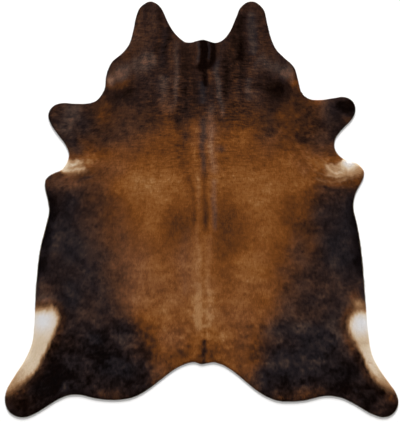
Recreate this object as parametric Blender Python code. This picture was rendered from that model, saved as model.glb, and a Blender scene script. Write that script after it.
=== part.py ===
"""A whole cowhide rug lying flat: one tanned hide with its hair on.

Metres, with +Z up, +Y towards the neck and +X to the right as seen from above. The hide
lies on its flat underside at z = 0, and the origin is under the middle of its outline.
Its top is not level: the skin is thick along the neck and the spine and thin at the
belly and the legs, the neck is drawn into folds, and the edge is rounded by the hair.
"""

import math
from typing import NamedTuple

import bmesh
import bpy
import numpy as np
from mathutils.geometry import delaunay_2d_cdt

# Driving dimensions
HIDE_LENGTH = 2.150  # from the tips of the ears to the toes of the hind legs
HIDE_WIDTH = 2.035  # across the toes of the hind legs
LEATHER = 0.0024  # the tanned skin at the belly
COAT = 0.0016  # the short hair, laid flat, at the belly
NECK_GAIN = 0.0012  # how much thicker the neck is than the belly
NECK_FROM = 0.480  # the neck's folds lie above this
SPINE_GAIN = 0.0011  # how much higher the ridge of the spine stands
SPINE_HALF_WIDTH = 0.055
THIN_EDGE = 0.0010  # how much the skin thins towards the edge
THIN_EDGE_WIDTH = 0.070

# The rounded edge: each ring of the rim lies this far in from the outline, at this share
# of the height of the top there
RIM_RINGS = ((0.0, 0.0), (0.0, 0.38), (0.0016, 0.78), (0.0050, 0.96), (0.0120, 1.0))
EDGE_STEP = 0.032  # from one corner of the outline to the next
TOP_STEP = 0.034  # from one point of the top to the next
NECK_STEP = 0.025  # the same on the neck, where the folds are
UNDER_STEP = 0.200  # from one point of the flat underside to the next


class Landmark(NamedTuple):
    """A place on the edge, on both sides: how far out from the spine, and how far up."""

    place: str
    right: float
    right_up: float
    left: float
    left_up: float


NECK_MIDDLE = (0.008, 0.876)
TAIL_POINT = (0.002, -0.800)

# From the neck, down both sides, to the tail
LANDMARKS = (
    Landmark("dip beside the neck's middle", 0.070, 0.860, 0.075, 0.861),
    Landmark("foot of the ear", 0.110, 0.875, 0.122, 0.892),
    Landmark("ear, inner edge, low", 0.147, 0.920, 0.159, 0.938),
    Landmark("ear, inner edge", 0.180, 0.995, 0.187, 0.993),
    Landmark("ear, inner edge, high", 0.205, 1.047, 0.212, 1.043),
    Landmark("ear, tip", 0.260, 1.075, 0.262, 1.074),
    Landmark("ear, outer edge, high", 0.318, 1.035, 0.317, 1.043),
    Landmark("ear, outer edge", 0.339, 0.959, 0.338, 0.995),
    Landmark("ear, outer edge, low", 0.358, 0.885, 0.353, 0.925),
    Landmark("bend of the neck", 0.386, 0.825, 0.374, 0.854),
    Landmark("neck, below the bend", 0.428, 0.782, 0.411, 0.806),
    Landmark("point of the shoulder", 0.477, 0.735, 0.464, 0.760),
    Landmark("shoulder", 0.500, 0.660, 0.493, 0.690),
    Landmark("crook above the foreleg", 0.517, 0.602, 0.502, 0.620),
    Landmark("foreleg, root", 0.555, 0.571, 0.545, 0.561),
    Landmark("foreleg, upper edge, near", 0.612, 0.565, 0.590, 0.547),
    Landmark("foreleg, upper edge", 0.674, 0.573, 0.665, 0.546),
    Landmark("foreleg, upper end", 0.740, 0.580, 0.722, 0.549),
    Landmark("fore toe, above", 0.780, 0.558, 0.768, 0.532),
    Landmark("fore toe", 0.795, 0.515, 0.792, 0.490),
    Landmark("fore toe, below", 0.777, 0.468, 0.777, 0.438),
    Landmark("foreleg, lower edge", 0.721, 0.408, 0.743, 0.387),
    Landmark("armpit, above", 0.690, 0.362, 0.703, 0.333),
    Landmark("armpit", 0.688, 0.315, 0.685, 0.281),
    Landmark("armpit, below", 0.712, 0.276, 0.697, 0.240),
    Landmark("elbow, root", 0.750, 0.252, 0.724, 0.203),
    Landmark("elbow, above", 0.802, 0.236, 0.772, 0.183),
    Landmark("elbow, tip", 0.840, 0.190, 0.805, 0.155),
    Landmark("elbow, below", 0.822, 0.133, 0.810, 0.117),
    Landmark("chest", 0.798, 0.090, 0.797, 0.059),
    Landmark("waist", 0.784, 0.015, 0.788, -0.008),
    Landmark("flank, high", 0.804, -0.080, 0.803, -0.078),
    Landmark("flank", 0.824, -0.205, 0.835, -0.210),
    Landmark("belly", 0.843, -0.425, 0.857, -0.420),
    Landmark("belly, low", 0.858, -0.620, 0.864, -0.598),
    Landmark("hind leg, root outside", 0.880, -0.750, 0.876, -0.691),
    Landmark("hind leg, outer edge", 0.917, -0.823, 0.911, -0.774),
    Landmark("hind leg, outer end", 0.966, -0.893, 0.960, -0.851),
    Landmark("hind toe, outside", 1.005, -0.950, 1.008, -0.935),
    Landmark("hind toe", 1.017, -0.998, 1.016, -0.995),
    Landmark("hind toe, below", 0.998, -1.047, 0.988, -1.052),
    Landmark("hind toe, inside", 0.950, -1.074, 0.930, -1.075),
    Landmark("hind leg, inner end", 0.890, -1.061, 0.872, -1.060),
    Landmark("hind leg, inner edge", 0.773, -0.996, 0.738, -0.980),
    Landmark("hind leg, root inside", 0.716, -0.972, 0.681, -0.959),
    Landmark("crook behind the leg", 0.640, -0.964, 0.624, -0.959),
    Landmark("buttock, outside", 0.535, -0.987, 0.557, -0.975),
    Landmark("buttock", 0.465, -0.993, 0.486, -0.984),
    Landmark("buttock, inside", 0.395, -0.989, 0.417, -0.983),
    Landmark("rump, low", 0.338, -0.968, 0.347, -0.968),
    Landmark("rump, middle", 0.285, -0.936, 0.278, -0.930),
    Landmark("rump", 0.229, -0.890, 0.208, -0.877),
    Landmark("rump, high", 0.173, -0.844, 0.138, -0.825),
    Landmark("root of the tail", 0.116, -0.807, 0.081, -0.798),
    Landmark("notch beside the tail", 0.059, -0.790, 0.040, -0.789),
)


class Fold(NamedTuple):
    """A soft ridge or, with a height below zero, a soft trough of the top."""

    place: str
    from_x: float
    from_y: float
    to_x: float
    to_y: float
    half_width: float
    height: float


FOLDS = (
    Fold("middle of the neck", 0.005, 0.870, 0.000, 0.500, 0.028, 0.0011),
    Fold("valley right of it", 0.052, 0.850, 0.040, 0.560, 0.020, -0.0009),
    Fold("valley left of it", -0.050, 0.850, -0.042, 0.540, 0.022, -0.0009),
    Fold("right ear, inner ridge", 0.235, 1.040, 0.120, 0.640, 0.030, 0.0010),
    Fold("right ear, valley", 0.270, 1.030, 0.190, 0.620, 0.024, -0.0008),
    Fold("right ear, outer ridge", 0.305, 1.000, 0.285, 0.640, 0.028, 0.0008),
    Fold("left ear, inner ridge", -0.225, 1.040, -0.115, 0.640, 0.030, 0.0010),
    Fold("left ear, valley", -0.262, 1.035, -0.185, 0.600, 0.024, -0.0009),
    Fold("left ear, outer ridge", -0.300, 1.010, -0.290, 0.620, 0.028, 0.0009),
    Fold("right shoulder", 0.450, 0.700, 0.300, 0.300, 0.060, 0.0008),
    Fold("left shoulder", -0.450, 0.710, -0.300, 0.300, 0.060, 0.0008),
    Fold("right foreleg", 0.740, 0.500, 0.480, 0.420, 0.045, 0.0009),
    Fold("left foreleg", -0.740, 0.480, -0.480, 0.410, 0.045, 0.0009),
    Fold("right elbow", 0.790, 0.175, 0.520, 0.190, 0.035, 0.0008),
    Fold("left elbow", -0.770, 0.140, -0.520, 0.170, 0.035, 0.0008),
    Fold("right flank", 0.640, 0.020, 0.520, -0.420, 0.070, -0.0007),
    Fold("left flank", -0.640, 0.020, -0.530, -0.420, 0.070, -0.0007),
    Fold("right thigh", 0.960, -1.010, 0.560, -0.640, 0.070, 0.0010),
    Fold("left thigh", -0.960, -1.010, -0.560, -0.640, 0.070, 0.0010),
    Fold("right hip", 0.300, -0.900, 0.200, -0.480, 0.080, 0.0008),
    Fold("left hip", -0.300, -0.880, -0.200, -0.480, 0.080, 0.0008),
)


def outline_points():
    """The landmarks in one loop, clockwise as seen from above, from the neck's middle."""
    right = [(mark.right, mark.right_up) for mark in LANDMARKS]
    left = [(-mark.left, mark.left_up) for mark in reversed(LANDMARKS)]
    return np.array([NECK_MIDDLE, *right, TAIL_POINT, *left])


def smooth_loop(points, step):
    """Points a step apart along the closed curve that runs smoothly through the points.

    The curve is a centripetal Catmull-Rom spline: it passes through every point, and
    doesn't overshoot where near points follow far ones.
    """
    finest = 24
    share = np.linspace(0.0, 1.0, finest, endpoint=False)[:, None]
    before, start, end, after = (np.roll(points, turn, axis=0) for turn in (1, 0, -1, -2))
    dense = []
    for p0, p1, p2, p3 in zip(before, start, end, after):
        t1 = math.sqrt(math.dist(p0, p1))
        t2 = t1 + math.sqrt(math.dist(p1, p2))
        t3 = t2 + math.sqrt(math.dist(p2, p3))
        t = t1 + share * (t2 - t1)
        a1 = (p0 * (t1 - t) + p1 * t) / t1
        a2 = (p1 * (t2 - t) + p2 * (t - t1)) / (t2 - t1)
        a3 = (p2 * (t3 - t) + p3 * (t - t2)) / (t3 - t2)
        b1 = (a1 * (t2 - t) + a2 * t) / t2
        b2 = (a2 * (t3 - t) + a3 * (t - t1)) / (t3 - t1)
        dense.append((b1 * (t2 - t) + b2 * (t - t1)) / (t2 - t1))
    dense = np.concatenate(dense)
    closed = np.vstack([dense, dense[:1]])
    travelled = np.concatenate([[0.0], np.cumsum(np.linalg.norm(np.diff(closed, axis=0), axis=1))])
    count = round(travelled[-1] / step)
    stops = np.linspace(0.0, travelled[-1], count, endpoint=False)
    return np.column_stack([np.interp(stops, travelled, closed[:, axis]) for axis in (0, 1)])


def to_size(loop):
    """The loop moved and scaled to lie evenly about the origin at the hide's real size."""
    low, high = loop.min(axis=0), loop.max(axis=0)
    return (loop - 0.5 * (low + high)) * (HIDE_WIDTH, HIDE_LENGTH) / (high - low)


def inward(loop):
    """The unit direction into the hide at each corner of a clockwise loop."""
    along = np.roll(loop, -1, axis=0) - np.roll(loop, 1, axis=0)
    along /= np.linalg.norm(along, axis=1)[:, None]
    return np.column_stack([along[:, 1], -along[:, 0]])


def distance_to_loop(places, loop):
    """How far each place lies from the nearest side of the loop."""
    start = loop
    side = np.roll(loop, -1, axis=0) - start
    offset = places[:, None] - start
    share = np.clip((offset * side).sum(axis=2) / (side * side).sum(axis=1), 0.0, 1.0)
    return np.linalg.norm(offset - share[:, :, None] * side, axis=2).min(axis=1)


def inside_loop(places, loop):
    """Whether each place is inside the loop: a ray from it crosses an odd number of sides."""
    start = loop
    end = np.roll(loop, -1, axis=0)
    x, y = places[:, :1], places[:, 1:]
    spans = (start[:, 1] > y) != (end[:, 1] > y)
    rise = np.where(start[:, 1] == end[:, 1], 1.0, end[:, 1] - start[:, 1])
    crossing = start[:, 0] + (y - start[:, 1]) * (end[:, 0] - start[:, 0]) / rise
    return (spans & (x < crossing)).sum(axis=1) % 2 == 1


def smooth_step(value):
    """0 below 0, 1 above 1, and a soft S between them."""
    value = np.clip(value, 0.0, 1.0)
    return value * value * (3.0 - 2.0 * value)


def fold_height(places, fold):
    """A bell across the fold's line that fades out over the line's two ends."""
    start = np.array((fold.from_x, fold.from_y))
    line = np.array((fold.to_x, fold.to_y)) - start
    offset = places - start
    share = np.clip(offset @ line / (line @ line), 0.0, 1.0)
    away = np.linalg.norm(offset - share[:, None] * line, axis=1)
    fade = smooth_step(share / 0.15) * smooth_step((1.0 - share) / 0.35)
    return fold.height * fade * np.exp(-((away / fold.half_width) ** 2))


def top_height(places, outline):
    """The height of the hair's surface above the floor at each place on the hide."""
    x, y = places.T
    height = np.full(len(places), LEATHER + COAT)
    height += NECK_GAIN * smooth_step((y - 0.20) / 0.55)
    ends = smooth_step((y + 0.80) / 0.25) * smooth_step((0.85 - y) / 0.30)
    height += SPINE_GAIN * ends * np.exp(-((x / SPINE_HALF_WIDTH) ** 2))
    height -= THIN_EDGE * smooth_step(1.0 - distance_to_loop(places, outline) / THIN_EDGE_WIDTH)
    for fold in FOLDS:
        height += fold_height(places, fold)
    return height


def grid_inside(loop, step, clear, low=-math.inf, high=math.inf):
    """Staggered points a step apart, at least clear of the loop, with y from low to high."""
    reach = 0.5 * max(HIDE_LENGTH, HIDE_WIDTH)
    rows = np.arange(-reach, reach, step * math.sqrt(0.75))
    columns = np.arange(-reach, reach, step)
    x, y = np.meshgrid(columns, rows)
    x = x + 0.5 * step * (np.arange(len(rows)) % 2)[:, None]
    places = np.column_stack([x.ravel(), y.ravel()])
    places = places[(places[:, 1] >= low) & (places[:, 1] < high)]
    places = places[inside_loop(places, loop)]
    return places[distance_to_loop(places, loop) > clear]


def triangulate(loop, inner):
    """Triangles that fill the loop and pass through the inner points.

    The loop's corners keep the first numbers and the inner points follow them. The
    triangles come out facing up.
    """
    places = np.vstack([loop, inner])
    count = len(loop)
    sides = [(i, (i + 1) % count) for i in range(count)]
    corners, _, faces, origins, _, _ = delaunay_2d_cdt(
        [tuple(place) for place in places], sides, [], 1, 1e-7
    )
    if len(corners) != len(places):
        raise ValueError("the triangulation added or merged points")
    first = [origin[0] for origin in origins]
    return [[first[corner] for corner in face] for face in faces]


def hide_material():
    """Short brown hair: rough, not metallic, and the brown of the middle of the back."""
    material = bpy.data.materials.new("hide_hair")
    material.use_nodes = True
    shader = material.node_tree.nodes["Principled BSDF"]
    shader.inputs["Base Color"].default_value = (0.105, 0.045, 0.020, 1.0)
    shader.inputs["Roughness"].default_value = 0.62
    shader.inputs["Metallic"].default_value = 0.0
    material.diffuse_color = (0.105, 0.045, 0.020, 1.0)
    return material


def make_hide():
    """One closed solid: a flat underside, rings of the rounded rim, and the uneven top."""
    outline = to_size(smooth_loop(outline_points(), EDGE_STEP))
    into = inward(outline)
    last_ring = outline + RIM_RINGS[-1][0] * into
    body = grid_inside(last_ring, TOP_STEP, 0.5 * TOP_STEP, high=NECK_FROM)
    neck = grid_inside(last_ring, NECK_STEP, 0.5 * NECK_STEP, low=NECK_FROM + 0.5 * NECK_STEP)
    top_inner = np.vstack([body, neck])
    under_inner = grid_inside(outline, UNDER_STEP, 0.3 * UNDER_STEP)

    mesh = bmesh.new()
    rings = []
    for inset, share in RIM_RINGS:
        ring = outline + inset * into
        height = share * top_height(ring, outline)
        rings.append([mesh.verts.new((x, y, z)) for (x, y), z in zip(ring, height)])
    for low, high in zip(rings, rings[1:]):
        for i in range(len(low)):
            j = (i + 1) % len(low)
            mesh.faces.new((low[j], low[i], high[i], high[j]))

    crown = [
        mesh.verts.new((x, y, z))
        for (x, y), z in zip(top_inner, top_height(top_inner, outline))
    ]
    top_corners = rings[-1] + crown
    for face in triangulate(last_ring, top_inner):
        mesh.faces.new([top_corners[corner] for corner in face])

    under_corners = rings[0] + [mesh.verts.new((x, y, 0.0)) for x, y in under_inner]
    for face in triangulate(outline, under_inner):
        mesh.faces.new([under_corners[corner] for corner in reversed(face)])

    bmesh.ops.recalc_face_normals(mesh, faces=mesh.faces)
    data = bpy.data.meshes.new("hide")
    mesh.to_mesh(data)
    mesh.free()
    data.shade_smooth()
    data.set_sharp_from_angle(angle=math.radians(50.0))
    data.materials.append(hide_material())
    hide = bpy.data.objects.new("hide", data)
    bpy.context.scene.collection.objects.link(hide)
    return hide


for old in list(bpy.data.objects):
    bpy.data.objects.remove(old, do_unlink=True)
make_hide()
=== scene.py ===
# %% [markdown]
# # A cowhide rug, hair side up
# A cowhide rug is one whole tanned skin. Nobody sews it: the tanner trims the neck, the
# legs and the tail, and leaves the hair on. So the looks come from three things only: a
# thin sheet of pale leather, the coat that lies on it, and the coat's natural colours.
# The sizes are in metres. +Y is the neck's end, +X is to the right as seen from above,
# and the rug lies on z = 0.

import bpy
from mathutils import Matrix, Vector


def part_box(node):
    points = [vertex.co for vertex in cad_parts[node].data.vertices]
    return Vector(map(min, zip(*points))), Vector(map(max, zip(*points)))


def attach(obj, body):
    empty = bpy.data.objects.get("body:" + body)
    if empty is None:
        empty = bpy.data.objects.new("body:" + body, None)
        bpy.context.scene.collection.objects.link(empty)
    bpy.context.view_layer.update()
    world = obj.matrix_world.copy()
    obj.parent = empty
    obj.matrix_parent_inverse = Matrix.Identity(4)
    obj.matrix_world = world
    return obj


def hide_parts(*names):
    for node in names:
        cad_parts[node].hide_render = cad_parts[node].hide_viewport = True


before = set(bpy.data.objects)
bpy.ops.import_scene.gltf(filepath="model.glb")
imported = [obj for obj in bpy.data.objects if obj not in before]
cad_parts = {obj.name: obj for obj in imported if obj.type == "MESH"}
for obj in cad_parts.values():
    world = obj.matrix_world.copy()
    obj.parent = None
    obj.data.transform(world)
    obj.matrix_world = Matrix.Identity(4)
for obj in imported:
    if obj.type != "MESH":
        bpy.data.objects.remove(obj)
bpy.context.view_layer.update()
HIDE_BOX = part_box("hide")
print("the hide's solid reaches from", HIDE_BOX[0], "to", HIDE_BOX[1])

# %% Numbers and meshes
import math
from typing import NamedTuple

import bpy
import numpy as np
from mathutils.geometry import delaunay_2d_cdt

chance = np.random.default_rng(20)

# %% [markdown]
# ## The outline
# Every piece follows the edge of the same hide, so the edge is read from the solid: the
# sides that only one triangle of its flat underside uses, put in order. The solid's edge
# is made of short straight sides. A curve that runs smoothly through its corners makes it
# even again, as the shears cut it.


# %% Read the edge
def corners_and_faces(mesh):
    """The mesh's corners and triangles as arrays, with corners at one place made one."""
    corners = np.empty(3 * len(mesh.vertices))
    mesh.vertices.foreach_get("co", corners)
    mesh.calc_loop_triangles()
    faces = np.empty(3 * len(mesh.loop_triangles), np.int32)
    mesh.loop_triangles.foreach_get("vertices", faces)
    places, number = np.unique(corners.reshape(-1, 3).round(6), axis=0, return_inverse=True)
    return places, number.reshape(-1)[faces].reshape(-1, 3)


def open_sides(faces):
    """The sides that only one of the triangles uses, each from its first to its second end."""
    sides = np.concatenate([faces[:, [0, 1]], faces[:, [1, 2]], faces[:, [2, 0]]])
    count = faces.max() + 1
    there = sides[:, 0] * count + sides[:, 1]
    back = sides[:, 1] * count + sides[:, 0]
    return sides[~np.isin(there, back)]


def in_order(sides):
    """The corners of one closed loop of sides, one after the other."""
    following = dict(sides.tolist())
    loop = [int(sides[0, 0])]
    while len(loop) < len(sides):
        loop.append(following[loop[-1]])
    return np.array(loop)


def smooth_loop(points, parts):
    """Each side cut into parts along a smooth curve through the points.

    With p0 to p3 four points in a row and the share t from 0 to 1 between p1 and p2, the
    place is half of
    2 p1 + (p2 - p0) t + (2 p0 - 5 p1 + 4 p2 - p3) t^2 + (3 p1 - p0 - 3 p2 + p3) t^3.
    """
    p0, p1, p2, p3 = (np.roll(points, turn, axis=0) for turn in (1, 0, -1, -2))
    t = (np.arange(parts) / parts)[:, None, None]
    bend = (2 * p0 - 5 * p1 + 4 * p2 - p3) * t**2
    twist = (3 * p1 - p0 - 3 * p2 + p3) * t**3
    curve = 0.5 * (2 * p1 + (p2 - p0) * t + bend + twist)
    return curve.transpose(1, 0, 2).reshape(-1, 2)


FLOOR_LEVEL = 1e-5  # a corner lower than this is on the floor
SIDE_PARTS = 7  # how many parts each side of the solid's edge is cut into
solid_places, solid_faces = corners_and_faces(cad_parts["hide"].data)
floor_faces = solid_faces[(solid_places[solid_faces, 2] < FLOOR_LEVEL).all(axis=1)]
edge_corners = solid_places[in_order(open_sides(floor_faces)), :2]
outline = smooth_loop(edge_corners, SIDE_PARTS)
following_point = np.roll(outline, -1, axis=0)
signed_area = 0.5 * np.cross(outline, following_point).sum()  # below 0 on a clockwise loop
outline = outline if signed_area > 0 else outline[::-1]
print(f"{len(edge_corners)} corners of the solid's edge, {len(outline)} on the smooth one")

# %% [markdown]
# ## Charts
# A chart is a square grid over the hide with one value at each crossing: how deep inside
# the edge a place lies, how thick the hide is there, or which way its hair lies. Each is
# worked out once. A mesh of any fineness then reads it between the four crossings round
# each of its corners, so the leather, the coat and the hair all agree.

# %% Charts
CHART_STEP = 0.005
CHART_MARGIN = 0.040
COARSE = 3  # a coarse chart has one crossing in this many, each way
COARSE_STEP = COARSE * CHART_STEP

chart_x = np.arange(HIDE_BOX[0][0] - CHART_MARGIN, HIDE_BOX[1][0] + CHART_MARGIN, CHART_STEP)
chart_y = np.arange(HIDE_BOX[0][1] - CHART_MARGIN, HIDE_BOX[1][1] + CHART_MARGIN, CHART_STEP)
every_x, every_y = np.meshgrid(chart_x, chart_y)


def read(chart, x, y, step=CHART_STEP):
    """The chart's value at each place, a mean of the four crossings round it weighed by
    how near each lies along x and along y."""
    column = np.clip((x - chart_x[0]) / step, 0, chart.shape[1] - 1.001)
    row = np.clip((y - chart_y[0]) / step, 0, chart.shape[0] - 1.001)
    i = column.astype(int)
    j = row.astype(int)
    u = column - i
    v = row - j
    low = chart[j, i] * (1 - u) + chart[j, i + 1] * u
    high = chart[j + 1, i] * (1 - u) + chart[j + 1, i + 1] * u
    return low * (1 - v) + high * v


def smooth_step(value, low=0.0, high=1.0):
    """0 up to low, 1 from high on, and t t (3 - 2 t) of the share t between them."""
    share = np.clip((value - low) / (high - low), 0, 1)
    return share * share * (3 - 2 * share)


print(f"a chart has {every_x.size} crossings, {CHART_STEP * 1000:.0f} mm apart")

# %% How deep inside the edge
CLOSE_TO_EDGE = 0.060  # within this the smooth outline is measured


def inside_chart(loop):
    """1 inside the loop and 0 outside: along each row, the sides crossed so far are odd."""
    start = loop
    end = np.roll(loop, -1, axis=0)
    spans = (start[:, 1] > chart_y[:, None]) != (end[:, 1] > chart_y[:, None])
    row, side = np.nonzero(spans)
    share = (chart_y[row] - start[side, 1]) / (end[side, 1] - start[side, 1])
    crossing = start[side, 0] + share * (end[side, 0] - start[side, 0])
    column = np.ceil((crossing - chart_x[0]) / CHART_STEP).astype(int)
    crossed = np.zeros((len(chart_y), len(chart_x) + 1))
    np.add.at(crossed, (row, np.clip(column, 0, len(chart_x))), 1)
    return crossed[:, :-1].cumsum(axis=1) % 2


def distance_to_sides(x, y, loop, at_once=2000):
    """The distance from each place to the nearest point of the nearest side."""
    side = np.roll(loop, -1, axis=0) - loop
    square = (side * side).sum(axis=1)
    nearest = []
    for first in range(0, len(x), at_once):
        dx = x[first : first + at_once, None] - loop[:, 0]
        dy = y[first : first + at_once, None] - loop[:, 1]
        share = np.clip((dx * side[:, 0] + dy * side[:, 1]) / square, 0, 1)
        nearest.append(np.hypot(dx - share * side[:, 0], dy - share * side[:, 1]).min(axis=1))
    return np.concatenate(nearest)


def depth_chart():
    """Metres inside the edge, below 0 outside. Far from the edge the solid's few corners
    are near enough; close to it the smooth outline is used."""
    x = every_x.ravel()
    y = every_y.ravel()
    distance = distance_to_sides(x, y, edge_corners)
    close = distance < CLOSE_TO_EDGE
    distance[close] = distance_to_sides(x[close], y[close], outline)
    sign = 2 * inside_chart(outline) - 1
    return sign * distance.reshape(every_x.shape)


depth = depth_chart()
print(f"the deepest place is {depth.max():.3f} m inside the edge")

# %% How thick the hide is
THICKNESS_SPREAD = 0.036
SOLID_RIM = 0.010  # the solid's edge is rounded down within this distance
TOP_FROM = 0.002  # the solid's top is higher than this everywhere


def thickness_chart():
    """The height of the solid's top. Each coarse crossing takes the mean of the corners
    of the top, each weighed by exp(-(distance / spread)^2), and by next to nothing where
    it is far away, so that the mean also holds outside the hide."""
    spread = THICKNESS_SPREAD
    top = solid_places[read(depth, solid_places[:, 0], solid_places[:, 1]) > SOLID_RIM]
    top = top[top[:, 2] > TOP_FROM]
    coarse_x = chart_x[::COARSE]
    coarse_y = chart_y[::COARSE]
    rows = []
    for y in coarse_y:
        near = top[np.abs(top[:, 1] - y) < 4 * spread]
        near = near if len(near) else top
        away = (coarse_x[:, None] - near[:, 0]) ** 2 + (y - near[:, 1]) ** 2
        weight = np.exp(-away / spread**2) + 1e-12 / (away + spread**2)
        rows.append((weight * near[:, 2]).sum(axis=1) / weight.sum(axis=1))
    return np.array(rows)


thickness = thickness_chart()
print(f"the solid is {thickness.min() * 1000:.1f} to {thickness.max() * 1000:.1f} mm thick")

# %% [markdown]
# ## Which way the hair lies
# Hair grows back from the head to the tail, slants down the flanks and runs out along the
# legs. A few guides say so, for one side: each has a place and a direction. In
# between, the directions blend. The other side is the mirror image.


# %% The lay of the hair
class Guide(NamedTuple):
    """Hair at this place lies towards this direction; its pull fades beyond the reach."""

    place: str
    x: float
    y: float
    toward_x: float
    toward_y: float
    reach: float


GUIDES = (
    Guide("neck", 0.00, 0.75, 0.00, -1.0, 0.25),
    Guide("ear", 0.26, 0.98, 0.05, -1.0, 0.14),
    Guide("neck side", 0.36, 0.78, 0.30, -1.0, 0.12),
    Guide("shoulder", 0.45, 0.62, 0.55, -1.0, 0.14),
    Guide("foreleg root", 0.56, 0.47, 0.80, -0.6, 0.12),
    Guide("foreleg", 0.72, 0.49, 1.00, -0.2, 0.12),
    Guide("armpit", 0.64, 0.30, 1.00, 0.15, 0.09),
    Guide("elbow", 0.76, 0.17, 1.00, -0.25, 0.10),
    Guide("chest", 0.66, 0.03, 0.60, -0.9, 0.14),
    Guide("back", 0.15, 0.20, 0.12, -1.0, 0.25),
    Guide("flank", 0.55, -0.15, 0.40, -1.0, 0.22),
    Guide("belly", 0.78, -0.35, 0.55, -1.0, 0.18),
    Guide("loin", 0.15, -0.30, 0.10, -1.0, 0.25),
    Guide("thigh", 0.65, -0.70, 0.45, -1.0, 0.20),
    Guide("hind leg", 0.85, -0.86, 0.75, -1.0, 0.14),
    Guide("hind toe", 0.97, -1.02, 0.70, -0.8, 0.10),
    Guide("buttock", 0.42, -0.92, 0.15, -1.0, 0.16),
    Guide("tail", 0.03, -0.72, 0.03, -1.0, 0.14),
)


def lay_charts():
    """The direction at each crossing as two charts. A guide's weight is
    exp(-(distance / reach)^2), and the blended direction has length 1."""
    x = every_x[::COARSE, ::COARSE]
    y = every_y[::COARSE, ::COARSE]
    toward = np.zeros((2, *x.shape))
    toward[1] = -1e-9  # straight back where no guide reaches
    for guide in GUIDES:
        length = math.hypot(guide.toward_x, guide.toward_y)
        for side in (-1, 1):
            away = np.hypot(x - side * guide.x, y - guide.y)
            weight = np.exp(-((away / guide.reach) ** 2))
            toward[0] += weight * side * guide.toward_x / length
            toward[1] += weight * guide.toward_y / length
    return toward / np.hypot(toward[0], toward[1])


lay = lay_charts()
print(f"{2 * len(GUIDES)} guides set the lay of the hair")

# %% [markdown]
# ## Unevenness
# Nothing on a hide is even. Value noise gives the unevenness: random values at the
# crossings of a grid, blended softly in between. A long thin cell makes streaks. The hair
# of the neck and the shoulders also stands in fine ripples across the hide, about 13 mm
# apart, which fade out over the back.


# %% Noise and ripples
def noise(x, y, cell_x, cell_y, seed):
    """Value noise from -1 to 1: the values at a cell's four corners, blended by
    t t (3 - 2 t) of the place's share of the cell each way. The grid of values starts
    well away from the hide, so that its first row and column don't cross it."""
    size = 512
    values = np.random.default_rng(seed).uniform(-1, 1, (size, size))
    column = x / cell_x + 0.37 * size
    row = y / cell_y + 0.61 * size
    i = np.floor(column).astype(int)
    j = np.floor(row).astype(int)
    u = smooth_step(column - i)
    v = smooth_step(row - j)
    low = values[j % size, i % size] * (1 - u) + values[j % size, (i + 1) % size] * u
    high = values[(j + 1) % size, i % size] * (1 - u) + values[(j + 1) % size, (i + 1) % size] * u
    return low * (1 - v) + high * v


RIPPLE_STEP = 0.0130
RIPPLE_HEIGHT = 0.00045
TUFT_HEIGHT = 0.00030
STREAK_HEIGHT = 0.00015
HAIR_ROOM = 0.0009  # what the hair tips take of the solid's thickness
ROUNDED_RIM = 0.011
RIM_SHARE = 0.62  # the coat's height at the cut edge, as a share of its full height


def ripple_amount(x, y):
    """How strong the ripples are: most on the sides of the neck, some on the ears and the
    shoulders."""
    neck = np.exp(-(((np.abs(x) - 0.17) / 0.17) ** 2) - ((y - 0.62) / 0.17) ** 2)
    ears = 0.60 * np.exp(-(((np.abs(x) - 0.27) / 0.14) ** 2) - ((y - 0.90) / 0.16) ** 2)
    shoulders = 0.52 * np.exp(-((x / 0.60) ** 2) - ((y - 0.29) / 0.22) ** 2)
    return np.clip(neck + ears + shoulders + 0.10, 0, 1)


def ripple_phase(x, y):
    """How many ripples lie below each place: its height, with a bow and slow noise."""
    wander = 0.9 * noise(x, y, 0.060, 0.045, 3) + 0.35 * noise(x, y, 0.025, 0.030, 4)
    bow = 0.55 * np.abs(x) ** 1.5
    return (y + bow) / RIPPLE_STEP + wander


def ripple(x, y):
    """The sine of the phase, broken up and faded by the ripples' strength."""
    broken = 0.5 + 0.5 * noise(x, y, 0.050, 0.016, 5)
    return np.sin(2 * math.pi * ripple_phase(x, y)) * broken * ripple_amount(x, y)


def surface(x, y):
    """The height of the lying coat: the solid's top less the room that the hair tips take,
    with ripples, tufts and streaks, rounded down to the cut edge as a quarter circle is."""
    full = read(thickness, x, y, COARSE_STEP) - HAIR_ROOM
    full = full + RIPPLE_HEIGHT * ripple(x, y)
    full = full + TUFT_HEIGHT * noise(x, y, 0.022, 0.030, 6)
    full = full + STREAK_HEIGHT * noise(x, y, 0.030, 0.008, 7)
    inward = np.clip(read(depth, x, y) / ROUNDED_RIM, 0, 1)
    return full * (RIM_SHARE + (1 - RIM_SHARE) * np.sqrt(inward * (2 - inward)))


print(f"the ripples are {RIPPLE_STEP * 1000:.0f} mm apart")

# %% [markdown]
# ## The pattern of the coat
# The brown of a hide runs on one scale, from black through chestnut to gold, so one number,
# the tone, places every hair on it. A second number, grey, is painted sheen: it cools the
# brown where the hair lies flat and shines. A third, pale, is for the cream and white hair
# of the leg pits.
# The saddle of chestnut has a left and a right border at each height. A picture of the
# coat could be laid over the hide instead, but the pattern would then be as coarse as the
# picture; a formula has as fine a grain as the hair.


# %% The saddle
class Station(NamedTuple):
    """One height along the spine: the borders of the saddle, how soft each is, the tone of
    the left flank, of the back and of the right flank, and how grey the flanks are: the
    grey is painted sheen."""

    y: float
    left: float
    right: float
    soft_left: float
    soft_right: float
    left_flank: float
    back: float
    right_flank: float
    grey: float


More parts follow.
